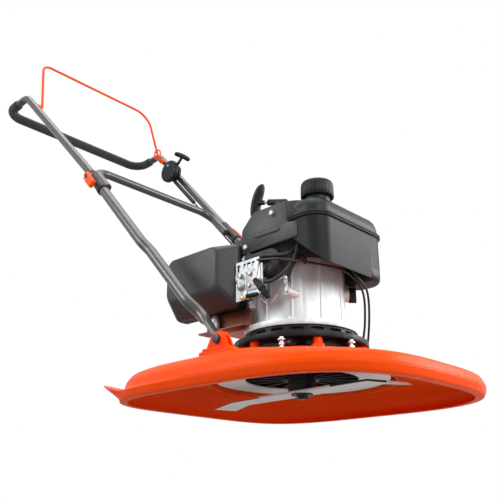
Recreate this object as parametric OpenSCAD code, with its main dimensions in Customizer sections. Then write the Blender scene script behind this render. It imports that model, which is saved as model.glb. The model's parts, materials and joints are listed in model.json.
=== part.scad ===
// Petrol hover mower: moulded deck, vertical-shaft engine, fan and blade, tilting telescopic handle.
// Frame: millimetres, +Z up, front towards -Y, origin on the blade axis in the plane of the rim.

/* [Deck] */
// Width of the deck over its lip
deck_width = 610; // [590:1:640]
// Distance from the blade axis to the front of the lip
deck_front = 340; // [325:1:360]
// Distance from the blade axis to the rear of the lip
deck_rear = 332; // [320:1:350]
// Height of the flat crown above the rim
crown_height = 84; // [80:1:90]
// Thickness of the moulded wall
deck_wall = 4; // [3:0.5:5]
// How far the lip turns up along the rear
rear_lip_lift = 28; // [10:1:30]

/* [Blade and fan] */
// Length of the blade over its tips
blade_length = 505; // [460:1:520]
// Width of the blade
blade_width = 54; // [45:1:60]
// Thickness of the blade
blade_thick = 4; // [3:0.5:5]
// Height of the underside of the blade above the rim
blade_height = 18; // [17:0.5:20]
// How far the blade tips are bent down
tip_drop = 9; // [5:0.5:9]
// Number of fan vanes
vane_count = 18; // [12:1:24]

/* [Engine] */
// Height of the black adapter plate above the rim
plate_height = 108; // [106:1:112]
// Diameter of the crankcase
case_d = 194; // [190:1:198]
// Diameter of the crankshaft
shaft_d = 25; // [22:0.5:26]
// Width of the fuel tank
tank_width = 236; // [226:1:240]
// Height of the tank's seam above the rim
seam_height = 355; // [350:1:360]

/* [Handle] */
// Angle of the handle above the horizontal
handle_angle = 47.4; // [45:0.1:50]
// Distance between the centre lines of the handle's legs at the clamps
leg_spacing = 476; // [466:1:486]
// Distance between the legs at the top of the handle
top_spacing = 526; // [516:1:536]
// Diameter of the lower tubes
lower_tube_d = 25; // [24.6:0.1:26]
// Diameter of the upper tube and of the brace
upper_tube_d = 22; // [21:0.1:22]
// Wall of every handle tube
tube_wall = 1.4; // [1.2:0.1:1.4]
// Diameter of the foam grip
foam_d = 29; // [27:0.5:32]
// Diameter of the bail wire
bail_d = 6.4; // [6:0.1:7]

/* [Hidden] */

// Fits shared by every piece
clear = 0.3;
running = 0.05;
overrun = 5;
$fn = 64;
hull_sides = 32;
tube_sides = 16;
lower_sides = 24;
bend_step = 15;

// Colours
orange = "#f4560f";
steel = "#d8d6d6";
zinc = "#b9bcc0";
black = "#262829";
grey = "#4d5052";
tube_grey = "#5d5a55";
foam_black = "#2d3434";

// Vector helpers
function unit(v) = v / norm(v);
function turn_between(a, b) = acos(max(-1, min(1, a * b)));
function lerp(a, b, t) = a + (b - a) * t;
function flip(p) = [-p[0], p[1], p[2]];

// Centre line through corner points, with round bends
function bend_arc(a, b, c, bend) = let (d1 = unit(b - a), d2 = unit(c - b), turn = turn_between(d1, d2),
    start = b - d1 * bend * tan(turn / 2), out = unit(cross(cross(d1, d2), d1)),
    steps = max(1, ceil(turn / bend_step)))
    [for (k = [0:steps]) start + d1 * bend * sin(turn * k / steps) + out * bend * (1 - cos(turn * k / steps))];
function bent_line(p, bend) = concat([p[0]], [for (i = [1:1:len(p) - 2])
    each bend_arc(p[i - 1], p[i], p[i + 1], is_list(bend) ? bend[i - 1] : bend)], [p[len(p) - 1]]);

// Rings of a round section carried along a line without twist
function line_dir(p, i) = unit(p[min(i + 1, len(p) - 1)] - p[max(i - 1, 0)]);
function carried(p, i = 0, last = undef) = i == len(p) ? [] :
    let (t = line_dir(p, i), guess = is_undef(last) ? (abs(t[2]) > 0.9 ? [1, 0, 0] : [0, 0, 1]) : last,
        n = unit(guess - t * (guess * t))) concat([n], carried(p, i + 1, n));
function sweep_rings(p, d, sides) = let (normals = carried(p)) [for (i = [0:len(p) - 1])
    let (t = line_dir(p, i), n = normals[i], b = cross(t, n), r = (is_list(d) ? d[i] : d) / 2)
    [for (k = [0:sides - 1]) p[i] + (n * cos(360 * k / sides) + b * sin(360 * k / sides)) * r]];
function reversed(v) = [for (i = [len(v) - 1:-1:0]) v[i]];

// Solid rod and open tube along a bent line
module bent_rod(points, bend, d, sides = tube_sides) {
    loft(sweep_rings(bent_line(points, bend), d, sides));
}
module bent_tube(points, bend, d, bore, sides = tube_sides) {
    line = bent_line(points, bend);
    loft(concat(sweep_rings(line, d, sides), reversed(sweep_rings(line, bore, sides))), closed = true);
}

// Flat ring
module ring(outer_d, inner_d, h) {
    difference() {
        cylinder(d = outer_d, h = h);
        translate([0, 0, -overrun]) cylinder(d = inner_d, h = h + 2 * overrun);
    }
}

// Rectangle with round corners, centred
module round_rect(w, l, r) {
    square([w - 2 * r, l], center = true);
    square([w, l - 2 * r], center = true);
    for (x = [-1, 1], y = [-1, 1]) translate([x * (w / 2 - r), y * (l / 2 - r)]) circle(r);
}

// Closed mesh through a list of rings that all have the same number of points
module loft(rings, closed = false) {
    n = len(rings[0]);
    m = len(rings);
    pts = [for (r = rings) each r];
    side = [for (j = [0:closed ? m - 1 : m - 2], i = [0:n - 1])
        let (a = j * n + i, b = j * n + (i + 1) % n, c = ((j + 1) % m) * n + i, d = ((j + 1) % m) * n + (i + 1) % n)
        each [[a, c, b], [b, c, d]]];
    first = [for (i = [1:n - 2]) [0, i, i + 1]];
    final = [for (i = [1:n - 2]) [(m - 1) * n, (m - 1) * n + i + 1, (m - 1) * n + i]];
    polyhedron(points = pts, faces = closed ? side : concat(first, side, final), convexity = 8);
}

// Smooth curve through hand-chosen route points
function curve_point(p, i, t) = let (a = p[max(i - 1, 0)], b = p[i], c = p[i + 1], d = p[min(i + 2, len(p) - 1)])
    (2 * b + (c - a) * t + (2 * a - 5 * b + 4 * c - d) * t * t + (3 * b - a - 3 * c + d) * t * t * t) / 2;
function curve(p, steps) = concat(
    [for (i = [0:len(p) - 2], k = [0:steps - 1]) curve_point(p, i, k / steps)], [p[len(p) - 1]]);

// Deck values
bead_height = 5;
lip_height = 14;
lip_top_height = 17;
lip_root_height = 22;
skirt_height = 38;
skirt_top_height = 50;
ledge_height = 56;
shoulder_height = 67;
// Shares of the plan's radius, at the front and at the rear, where the lip stands away from the skirt
rim_shares = [0.972, 0.972];
bead_shares = [0.992, 0.99];
bead_lift_share = 0.25;
lip_shares = [1, 1.105];
lip_top_shares = [1, 1.1];
lip_root_shares = [0.998, 0.962];
lip_inner_shares = [0.99, 0.955];
skirt_shares = [0.978, 0.945];
skirt_top_shares = [0.938, 0.925];
ledge_shares = [0.905, 0.9];
shoulder_shares = [0.8, 0.8];
// Where the lip starts to flare towards the rear, and over how much of the depth
flare_start_share = 0.6;
flare_run_share = 0.25;
// How far the dome dips at the front, and where the dip starts and ends
skirt_dip = 2;
skirt_top_dip = 9;
ledge_dip = 12;
shoulder_dip = 14;
dip_start_share = 0.2;
dip_run_share = 0.5;
rim_width = 12;
front_squareness = 3.1;
rear_squareness = 4.4;
crown_share = 0.525;
crown_r = deck_width / 2 * crown_share;
deck_points = 72;
pad_width = 36;
pad_length = 92;
pad_height = 78;
pad_depth = 14;

// Handle pivot values
pivot_y = 22;
pivot_z = 100;
pivot_share = 0.7115;
pivot_x = deck_width / 2 * pivot_share;
pivot_bolt_d = 10;
tab_thick = 9;
ear_thick = 4;
ear_gap = tab_thick + 2 * clear;
bracket_length = 74;
bracket_base = 5;
ear_r = 16;
bolt_head_d = 18;
bolt_head_h = 5;

// Engine stack values
flange_bolt_gap = 9;
flange_bolt_r = case_d / 2 + flange_bolt_gap;
standoff_d = 26;
standoff_gap = 24;
standoff_r = flange_bolt_r + standoff_gap;
standoff_count = 6;
standoff_turn = 174;
inlet_lap = 2;
inlet_d = 2 * (standoff_r - inlet_lap);
plate_d = 2 * standoff_r + standoff_d;
plate_thick = 12;
plate_bore = 130;
flange_width = 24;
flange_d = case_d + 2 * flange_width;
rib_ring_h = 18;
rib_ring_inset = 3;
rib_ring_d = flange_d - 2 * rib_ring_inset;
flange_z = plate_height + plate_thick + rib_ring_h;
flange_thick = 12;
flange_bolt_turn = 206;
flange_bolt_d = 8;
flange_bolt_count = 4;
bolt_head_share = 0.7;
case_top = 285;
case_wall = 10;
case_floor = 16;
case_roof = 14;
bearing_d = 52;
bearing_h = 15;
seal_h = 7;
barrel_z = 222;
pad_half = 50;
case_pad_gap = 7;
case_pad_y = case_d / 2 + case_pad_gap;
bore_d = 68;
rib_d = 12;
rib_count = 10;

// Cylinder values
barrel_d = 84;
barrel_length = 76;
barrel_end = case_pad_y + barrel_length;
fin_size = 98;
fin_count = 7;
fin_share = 0.5;
head_length = 34;
head_end = barrel_end + head_length;
head_fin_count = 4;
cover_depth = 24;
cover_width = 62;
cover_height = 84;
cover_shift = -12;
cover_r = 12;
plug_d = 14;
plug_hex = 21;
plug_length = 46;
plug_thread = 12;
plug_x = 34;
plug_z = 20;
plug_core_share = 0.7;
cap_d = 22;

// Muffler values
muffler_x = 60;
muffler_w = 78;
muffler_l = 84;
muffler_h = 84;
muffler_r = 14;
muffler_y = head_end - head_length / 2;
port_d = 34;
port_bore_share = 0.7;
guard_wall = 2;
guard_slots = 5;
guard_slot = 7;
pipe_y = 145;
pipe_d = 20;
pipe_top = 180;
shield_gap = 7;
shield_x = -case_d / 2 - shield_gap;
shield_front = 48;
shield_rear = 182;
shield_thick = 3;
shield_top = 192;
shield_foot = 26;

// Air cleaner values
cleaner_front = 62;
cleaner_rear = 258;
cleaner_bottom = 192;
cleaner_top = 334;
cleaner_gap = 5;
tray_depth = 20;
cleaner_depth = 46;
cleaner_base_x = -case_d / 2 - cleaner_gap;
cleaner_back = cleaner_base_x - tray_depth;
cleaner_face = cleaner_back - cleaner_depth;
face_inset_front = 50;
face_inset_rear = 8;
face_inset_top = 8;
face_inset_bottom = 44;
cleaner_r = 8;
cover_wall = 3;
filter_thick = 24;

// Carburettor values
carb_gap = 23;
carb_x = -case_d / 2 - carb_gap;
carb_front = 4;
carb_rear = 50;
carb_z = 252;
carb_w = 34;
carb_h = 44;
throat_d = 20;
bowl_d = 33;
bowl_h = 22;
solenoid_d = 14;
solenoid_l = 26;
bracket_x = carb_x - carb_w / 2;
bracket_thick = 2;
bracket_front = -18;
bracket_rear = 58;
bracket_bottom = 198;
bracket_top = 284;
bracket_hole = 6;
hole_count = 5;
hose_d = 20;
hose_bore = 13;
hose_z = 296;
hose_front = -34;

// Governor values
governor_gap = 13;
governor_face = -case_d / 2 - governor_gap;
governor_y = -56;
governor_z = 206;
governor_reach = 26;
governor_boss_d = 16;
governor_pin_d = 6;
governor_pin = 14;
throttle_y = -11;
arm_thick = 2.5;
arm_width = 10;
link_d = 2;
spring_d = 4.4;
spring_wire = 1;
spring_share = 0.6;
spring_curls = 10;
curl_rings = 8;
curl_sides = 6;

// Tank values
tank_front = -150;
tank_rear = -58;
tank_depth = 105;
tank_bottom = seam_height - tank_depth;
tank_rise = 43;
tank_top = seam_height + tank_rise;
tank_wall = 3;
tank_corner = 38;
seam_flange = 5;
seam_thick = 7;
slope_share = 0.85;
foot_start = 60;
dome_inset = 22;
neck_x = -70;
neck_y = -112;
neck_d = 54;
neck_bore = 44;
neck_rise = 20;
neck_top = tank_top + neck_rise;
cap_skirt = 68;
cap_height = 36;
cap_overlap = 14;
cap_ribs = 20;
vent_d = 12;

// Blower, shroud and starter values
blower_step = 3;
blower_d = case_d + 2 * blower_step;
blower_z = case_top;
blower_top = 392;
blower_wall = 3;
cowl_inset = 22;
cowl_width = case_d - 2 * cowl_inset;
cowl_lap = 8;
cowl_rear = head_end - cowl_lap;
cowl_top = 346;
cowl_slope_top = 372;
flywheel_gap = 12;
flywheel_d = blower_d - 2 * flywheel_gap;
flywheel_z = 302;
flywheel_h = 16;
flywheel_fins = 16;
flywheel_fin_h = 22;
starter_d = 148;
starter_top = 426;
starter_wall = 3;
starter_slots = 12;
pulley_d = 72;
pulley_h = 14;
pulley_z = 398;
pulley_post = 16;
shroud_gap = 20;
shroud_x = -blower_d / 2 - shroud_gap;
shroud_thick = 2.5;
shroud_front = -72;
shroud_rear = 60;
shroud_bottom = 308;
shroud_top = 398;
shroud_chamfer = 34;
boss_d = 18;
boss_front_y = -30;
boss_front_z = 380;
boss_rear_y = 46;
boss_rear_z = 322;
shroud_bolt_d = 6;
rope_x = -58;
rope_y = 10;
rope_z = 438;
rope_rise = 16.5;
rope_d = 4.5;
guide_d = 15;
guide_length = 52;
grip_gap = 14;
grip_length = 84;
grip_thick = 20;
grip_end_share = 0.8;
grip_stem_d = 16;
grip_stem = 22;
grip_stem_share = 0.7;

// Oil filler values
oil_turn = -46;
oil_z = 232;
oil_boss_d = 30;
oil_boss = 10;
oil_cap_d = 34;
oil_cap_h = 16;

// Rotor values
hub_d = 76;
hub_bottom = 46;
hub_top = 72;
fan_plate_z = 60;
fan_plate_thick = 3;
vane_thick = 4;
fan_share = 0.6;
fan_d = deck_width * fan_share;
ring_width = 45;
ring_inner_d = fan_d - 2 * ring_width;
ring_thick = 3;
duct_gap = 15;
duct_d = fan_d + 2 * duct_gap;
duct_bottom = 38;
duct_wall = 3;
duct_drop = 14;
duct_seat_d = 2 * (crown_r - deck_wall);
spacer_d = 58;
blade_turn = 86;
tip_length = 62;
blade_hole = 12;
washer_d = 46;
washer_h = 3;
blade_head_d = 24;
blade_head_h = 8;
shaft_low = blade_height + blade_thick;

// Handle values, measured along the handle from its pivot
tab_end = 62;
bend_in = 124;
joggle_low = 318;
joggle_high = 352;
joggle_shift = 8;
lower_end = 690;
tube_bend = 60;
insert_end = 566;
splay_start = 716;
top_bend = 1212;
top_lean = 8;
rear_bend = 1290;
rear_lean = 102;
corner_bend = 48;
foam_start_share = 0.42;
sleeve_low = 612;
sleeve_high = 688;
sleeve_d = 29;
collar_low = 600;
collar_d = 31;
brace_low = 632;
brace_height = 738;
brace_bolt_d = 6;
brace_bolt_z = 652;
lever_z = 664;
lever_arm = 44;
lever_width = 15;
lever_thick = 7;
lever_cam_d = 15;
housing_z = 1042;
housing_d = 70;
housing_w = 16;
housing_gap = 1.8;
housing_back = 10;
housing_back_share = 0.8;
lever_slot = 9;
lever_pivot_d = 14;
throttle_reach = 66;
throttle_bar = 44;
throttle_bar_d = 9;
throttle_stem_d = 8;
bail_pivot = 1156;
bail_height = 183;
bail_lean = -91;
bail_half = 214;
bail_corner = 30;
bail_boss_d = 16;
bail_block = 12;
conduit_top = 1017;
conduit_low = 872;
conduit_d = 13;
conduit_bore = 9;
conduit_ribs = 26;
conduit_sides = 8;
rib_depth = 1;
cable_d = 3.4;
cable_inset = 19;
cable_pair = 2;
cable_stand = 4;
cable_gap_share = 0.56;
cable_sides = 8;

// Handle line and frames
leg_x = leg_spacing / 2;
top_x = top_spacing / 2;
lower_leg_x = leg_x - joggle_shift;
lower_bore = (upper_tube_d + 2 * clear) / cos(180 / lower_sides);
module handle_frame() {
    translate([0, pivot_y, pivot_z]) rotate([handle_angle - 90, 0, 0]) children();
}
module both_sides() {
    children();
    mirror([1, 0, 0]) children();
}
function leg_at(z) = lerp([leg_x, 0, splay_start], [top_x, top_lean, top_bend],
    (z - splay_start) / (top_bend - splay_start));

// Deck outline: a rounded box in plan whose front and rear differ
function plan_r(a) = let (l = sin(a) < 0 ? deck_front : deck_rear, n = sin(a) < 0 ? front_squareness : rear_squareness)
    pow(pow(abs(cos(a)) / (deck_width / 2), n) + pow(abs(sin(a)) / l, n), -1 / n);
function eased(t) = let (s = max(0, min(1, t))) s * s * (3 - 2 * s);
function rear_flare(a) = eased((sin(a) - flare_start_share) / flare_run_share);
function front_dip(a) = eased((-sin(a) - dip_start_share) / dip_run_share);
function deck_ring(shares, inset, z, lift = 0, dip = 0) = [for (k = [0:deck_points - 1])
    let (a = 360 * k / deck_points, rear = lift > 0 ? rear_flare(a) : eased(sin(a)),
        r = lerp(shares[0], shares[1], rear) * plan_r(a) - inset)
    [r * cos(a), r * sin(a), z + lift * rear_lip_lift * rear - dip * front_dip(a)]];
function round_ring(r, z) = [for (k = [0:deck_points - 1])
    let (a = 360 * k / deck_points) [r * cos(a), r * sin(a), z]];

module deck_shell() {
    color(orange) {
        loft([
            deck_ring(rim_shares, 0, 0),
            deck_ring(bead_shares, 0, bead_height, bead_lift_share),
            deck_ring(lip_shares, 0, lip_height, 1),
            deck_ring(lip_top_shares, 0, lip_top_height, 1),
            deck_ring(lip_root_shares, 0, lip_root_height),
            deck_ring(skirt_shares, 0, skirt_height, dip = skirt_dip),
            deck_ring(skirt_top_shares, 0, skirt_top_height, dip = skirt_top_dip),
            deck_ring(ledge_shares, 0, ledge_height, dip = ledge_dip),
            deck_ring(shoulder_shares, 0, shoulder_height, dip = shoulder_dip),
            round_ring(crown_r, crown_height),
            round_ring(inlet_d / 2, crown_height),
            round_ring(inlet_d / 2, crown_height - deck_wall),
            round_ring(crown_r, crown_height - deck_wall),
            deck_ring(shoulder_shares, deck_wall, shoulder_height - deck_wall, dip = shoulder_dip),
            deck_ring(ledge_shares, deck_wall, ledge_height - deck_wall, dip = ledge_dip),
            deck_ring(skirt_top_shares, deck_wall, skirt_top_height - deck_wall, dip = skirt_top_dip),
            deck_ring(skirt_shares, deck_wall, skirt_height - deck_wall, dip = skirt_dip),
            deck_ring(lip_inner_shares, deck_wall, lip_height),
            deck_ring(rim_shares, rim_width, 0)
        ], closed = true);
        both_sides() translate([pivot_x, pivot_y, pad_height - pad_depth]) linear_extrude(pad_depth)
            round_rect(pad_width, pad_length, pad_width / 4);
        for (k = [0:standoff_count - 1]) rotate(standoff_turn + 360 * k / standoff_count)
            translate([standoff_r, 0, crown_height - deck_wall / 2])
            cylinder(d = standoff_d, h = plate_height - crown_height + deck_wall / 2);
    }
}

module handle_brackets() {
    color(orange) both_sides() translate([pivot_x, pivot_y, 0]) difference() {
        union() {
            translate([0, 0, pad_height]) linear_extrude(bracket_base) square([pad_width, bracket_length], center = true);
            for (x = [-1, 1]) translate([x * (ear_gap + ear_thick) / 2 - ear_thick / 2, 0, 0])
                rotate([90, 0, 90]) linear_extrude(ear_thick) {
                    polygon([[-bracket_length / 2, pad_height], [bracket_length / 2, pad_height],
                        [ear_r, pivot_z], [-ear_r, pivot_z]]);
                    translate([0, pivot_z]) circle(ear_r);
                }
        }
        translate([-pad_width, 0, pivot_z]) rotate([0, 90, 0]) cylinder(d = pivot_bolt_d, h = 2 * pad_width);
    }
}

module fan_duct() {
    top = crown_height - deck_wall;
    color(orange) rotate_extrude($fn = 120) polygon([
        [inlet_d / 2, top], [duct_seat_d / 2, top], [duct_d / 2, top - duct_drop], [duct_d / 2, duct_bottom],
        [duct_d / 2 - duct_wall, duct_bottom], [duct_d / 2 - duct_wall, top - duct_drop - duct_wall],
        [duct_seat_d / 2, top - duct_wall], [inlet_d / 2, top - duct_wall]]);
}

module at_flange_bolts() {
    for (k = [0:flange_bolt_count - 1]) rotate(flange_bolt_turn + 360 * k / flange_bolt_count)
        translate([flange_bolt_r, 0, 0]) children();
}

module engine_plate() {
    slot_h = rib_ring_h / 3;
    color(black) difference() {
        union() {
            translate([0, 0, plate_height]) cylinder(d = plate_d, h = plate_thick);
            translate([0, 0, plate_height + plate_thick]) cylinder(d = rib_ring_d, h = rib_ring_h);
        }
        translate([0, 0, plate_height - overrun]) cylinder(d = plate_bore, h = plate_thick + rib_ring_h + 2 * overrun);
        for (k = [0:vane_count - 1]) rotate(360 * k / vane_count + flange_bolt_turn + 180 / vane_count)
            translate([rib_ring_d / 2 - slot_h, -standoff_d / 2, plate_height + plate_thick + slot_h])
            cube([slot_h + overrun, standoff_d, slot_h]);
        at_flange_bolts() translate([0, 0, plate_height - overrun])
            cylinder(d = flange_bolt_d + 2 * clear, h = plate_thick + rib_ring_h + 2 * overrun);
    }
}

module engine_bolts() {
    head = flange_bolt_d * bolt_head_share;
    grip = flange_z + flange_thick - plate_height;
    color(zinc) at_flange_bolts() {
        translate([0, 0, plate_height - head]) cylinder(d = flange_bolt_d, h = grip + 2 * head);
        translate([0, 0, plate_height - head]) cylinder(d = 2 * flange_bolt_d, h = head, $fn = 6);
        translate([0, 0, flange_z + flange_thick]) cylinder(d = 2 * flange_bolt_d, h = head, $fn = 6);
    }
}

module crankcase() {
    inner_d = case_d - 2 * case_wall;
    color(steel) difference() {
        union() {
            translate([0, 0, flange_z]) cylinder(d = flange_d, h = flange_thick, $fn = 120);
            translate([0, 0, flange_z]) cylinder(d = case_d, h = case_top - flange_z, $fn = 120);
            translate([-pad_half, 0, barrel_z - pad_half]) cube([2 * pad_half, case_pad_y, 2 * pad_half]);
            rotate(oil_turn) translate([0, 0, oil_z]) rotate([0, 90, 0])
                cylinder(d = oil_boss_d, h = case_d / 2 + oil_boss);
            translate([governor_face, governor_y, governor_z]) rotate([0, 90, 0])
                cylinder(d = governor_boss_d, h = -governor_face);
            for (k = [0:rib_count - 1]) rotate(standoff_turn + 360 * k / rib_count)
                translate([case_d / 2, 0, flange_z]) cylinder(d = rib_d / 2, h = case_top - flange_z, $fn = 24);
        }
        translate([0, 0, flange_z + case_floor]) cylinder(d = inner_d, h = case_top - flange_z - case_floor - case_roof);
        translate([0, 0, flange_z - overrun]) cylinder(d = bearing_d, h = case_top - flange_z + 2 * overrun);
        translate([0, 0, barrel_z]) rotate([-90, 0, 0]) cylinder(d = bore_d, h = case_pad_y + overrun);
        rotate(oil_turn) translate([0, 0, oil_z]) rotate([0, 90, 0]) cylinder(d = oil_boss_d / 2, h = case_d);
        translate([governor_face - overrun, governor_y, governor_z]) rotate([0, 90, 0])
            cylinder(d = governor_pin_d, h = case_d / 2);
        at_flange_bolts() translate([0, 0, flange_z - overrun])
            cylinder(d = flange_bolt_d + 2 * clear, h = flange_thick + 2 * overrun);
        at_flange_bolts() translate([0, 0, flange_z + flange_thick])
            cylinder(d = 2 * flange_bolt_d + 2 * clear, h = 2 * rib_d);
    }
}

module main_bearings() {
    color(steel) for (z = [flange_z + seal_h, case_top - bearing_h]) translate([0, 0, z])
        ring(bearing_d, shaft_d + 2 * running, bearing_h);
}
module oil_seal() {
    color(black) translate([0, 0, flange_z]) ring(bearing_d, shaft_d + 2 * running, seal_h);
}

module finned(start, stop, core_d, fins) {
    pitch = (stop - start) / fins;
    translate([0, start, barrel_z]) rotate([-90, 0, 0]) {
        cylinder(d = core_d, h = stop - start);
        for (k = [0:fins - 1]) translate([0, 0, k * pitch]) linear_extrude(pitch * fin_share)
            round_rect(fin_size, fin_size, fin_size / 8);
    }
}

module cylinder_barrel() {
    color(steel) difference() {
        finned(case_pad_y, barrel_end, barrel_d, fin_count);
        translate([0, case_pad_y - overrun, barrel_z]) rotate([-90, 0, 0])
            cylinder(d = bore_d, h = barrel_end - case_pad_y + 2 * overrun);
    }
}

module cylinder_head() {
    color(steel) difference() {
        union() {
            finned(barrel_end, head_end, barrel_d, head_fin_count);
            translate([0, muffler_y, barrel_z]) rotate([0, 90, 0]) cylinder(d = port_d, h = muffler_x);
        }
        translate([plug_x, head_end - plug_thread, barrel_z + plug_z]) rotate([-90, 0, 0])
            cylinder(d = plug_d + clear, h = 2 * plug_thread);
    }
}

module valve_cover() {
    color(steel) translate([cover_shift, head_end, barrel_z]) rotate([-90, 0, 0]) linear_extrude(cover_depth)
        round_rect(cover_width, cover_height, cover_r);
}

module at_plug() {
    translate([plug_x, head_end - plug_thread + clear, barrel_z + plug_z]) rotate([-90, 0, 0]) children();
}
module spark_plug() {
    color("white") at_plug() {
        cylinder(d = plug_d, h = plug_thread);
        translate([0, 0, plug_thread - clear]) cylinder(d = plug_hex, h = plug_d / 2, $fn = 6);
        cylinder(d = plug_d * plug_core_share, h = plug_length);
    }
}
module plug_cap() {
    base = plug_thread + plug_d;
    color(black) at_plug() difference() {
        translate([0, 0, base]) cylinder(d = cap_d, h = plug_length);
        cylinder(d = plug_d * plug_core_share + 2 * clear, h = plug_length + clear);
    }
}

module muffler() {
    color(zinc) translate([muffler_x, muffler_y, barrel_z]) rotate([90, 0, 90]) difference() {
        linear_extrude(muffler_w) round_rect(muffler_l, muffler_h, muffler_r);
        translate([0, 0, tank_wall]) linear_extrude(muffler_w - 2 * tank_wall)
            round_rect(muffler_l - 2 * tank_wall, muffler_h - 2 * tank_wall, muffler_r - tank_wall);
        translate([0, 0, -overrun]) cylinder(d = port_d * port_bore_share, h = 2 * overrun);
    }
}
module muffler_guard() {
    grow = 2 * (guard_wall + clear);
    slot_pitch = muffler_h / (guard_slots + 1);
    color(black) translate([muffler_x + muffler_w / 2, muffler_y, barrel_z]) rotate([90, 0, 90]) difference() {
        linear_extrude(muffler_w / 2 + guard_wall)
            round_rect(muffler_l + grow, muffler_h + grow, muffler_r + guard_wall);
        translate([0, 0, -overrun]) linear_extrude(muffler_w / 2 + overrun)
            round_rect(muffler_l + 2 * clear, muffler_h + 2 * clear, muffler_r);
        for (k = [1:guard_slots])
            translate([-muffler_l / 3, k * slot_pitch - muffler_h / 2 - guard_slot / 2, 0])
            cube([muffler_l * 2 / 3, guard_slot, muffler_w]);
    }
}

module heat_shield() {
    shield_base = flange_z + flange_thick;
    color("#7a4a35") difference() {
        union() {
            translate([shield_x, shield_front, shield_base])
                cube([shield_thick, shield_rear - shield_front, shield_top - shield_base]);
            translate([shield_x - shield_foot, shield_front, shield_base])
                cube([shield_foot + overrun + shield_thick, shield_rear - shield_front, shield_thick]);
        }
        at_flange_bolts() translate([0, 0, flange_z]) cylinder(d = 3 * flange_bolt_d, h = shield_top);
    }
}
module exhaust_pipe() {
    base = flange_z + flange_thick + shield_thick;
    color(zinc) translate([shield_x - pipe_d / 2 - clear, pipe_y, base]) difference() {
        union() {
            cylinder(d = pipe_d, h = pipe_top - base);
            translate([0, 0, pipe_top - base]) cylinder(d1 = pipe_d, d2 = pipe_d / 2, h = pipe_d / 2);
        }
        translate([0, 0, -overrun]) cylinder(d = pipe_d / 2 - tank_wall, h = shield_top);
    }
}

// Air cleaner: tapered cover on a flat tray
module cleaner_slab(x, front, rear, bottom, top, thick, r) {
    for (y = [front + r, rear - r], z = [bottom + r, top - r])
        translate([x, y, z]) rotate([0, 90, 0]) cylinder(r = r, h = thick, $fn = hull_sides);
}
module cleaner_form(inset) {
    hull() {
        cleaner_slab(cleaner_back - cover_wall, cleaner_front + inset, cleaner_rear - inset, cleaner_bottom + inset,
            cleaner_top - inset, cover_wall, cleaner_r);
        cleaner_slab(cleaner_face + inset, cleaner_front + face_inset_front + inset, cleaner_rear - face_inset_rear - inset,
            cleaner_bottom + face_inset_bottom + inset, cleaner_top - face_inset_top - inset, cover_wall, cleaner_r);
    }
}
module air_cleaner_cover() {
    color(grey) difference() {
        cleaner_form(0);
        cleaner_form(cover_wall);
        translate([cleaner_back - cover_wall - clear, cleaner_front + cover_wall, cleaner_bottom + cover_wall])
            cube([cover_wall + overrun, cleaner_rear - cleaner_front - 2 * cover_wall,
                cleaner_top - cleaner_bottom - 2 * cover_wall]);
    }
}
module air_cleaner_base() {
    depth = cleaner_base_x - cleaner_back;
    color(black) difference() {
        union() {
            translate([cleaner_back, (cleaner_front + cleaner_rear) / 2, (cleaner_bottom + cleaner_top) / 2]) rotate([90, 0, 90])
                linear_extrude(depth) round_rect(cleaner_rear - cleaner_front, cleaner_top - cleaner_bottom, cleaner_r);
            translate([cleaner_base_x - overrun, muffler_y - port_d / 2, barrel_z - port_d / 2])
                cube([-fin_size / 2 - cleaner_base_x + overrun, port_d, port_d]);
        }
        translate([cleaner_back - overrun, cleaner_front + 2 * cover_wall, cleaner_bottom + 2 * cover_wall])
            cube([depth - cover_wall + overrun, cleaner_rear - cleaner_front - 4 * cover_wall,
                cleaner_top - cleaner_bottom - 4 * cover_wall]);
        translate([cleaner_base_x - port_d, muffler_y, barrel_z]) rotate([0, 90, 0]) cylinder(d = throat_d, h = case_d);
        translate([carb_x + carb_w / 4, cleaner_front - overrun, hose_z]) rotate([-90, 0, 0])
            cylinder(d = hose_bore, h = 4 * overrun);
    }
}
module filter_element() {
    color("#c9b98a") translate([cleaner_base_x - cover_wall - filter_thick, cleaner_front + face_inset_front,
        cleaner_bottom + face_inset_bottom])
        cube([filter_thick, cleaner_rear - cleaner_front - face_inset_front - 4 * cover_wall,
            cleaner_top - cleaner_bottom - face_inset_bottom - 4 * cover_wall]);
}

module carburettor() {
    color(zinc) difference() {
        union() {
            translate([carb_x - carb_w / 2, carb_front, carb_z - carb_h / 2]) cube([carb_w, carb_rear - carb_front, carb_h]);
            translate([carb_x, carb_rear - overrun, carb_z]) rotate([-90, 0, 0])
                cylinder(d = carb_w, h = cleaner_front - carb_rear + overrun);
        }
        translate([carb_x, carb_front - overrun, carb_z]) rotate([-90, 0, 0])
            cylinder(d = throat_d, h = cleaner_front - carb_front + 2 * overrun);
    }
}
module float_bowl() {
    low = carb_z - carb_h / 2 - bowl_h;
    translate([carb_x, (carb_front + carb_rear) / 2, low]) {
        color(zinc) cylinder(d = bowl_d, h = bowl_h);
        color(black) translate([0, 0, -solenoid_l]) cylinder(d = solenoid_d, h = solenoid_l + overrun);
        color(black) translate([0, 0, -solenoid_l * 2 / 3]) cylinder(d = solenoid_d + overrun, h = solenoid_l / 3);
    }
}
module intake_hose() {
    start = [carb_x + carb_w / 4, cleaner_front, hose_z];
    color(black) bent_tube([start, [start[0], hose_front, hose_z], [carb_x, hose_front, carb_z],
        [carb_x, carb_front, carb_z]], hose_d, hose_d, hose_bore, cable_sides + 4);
}

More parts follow.
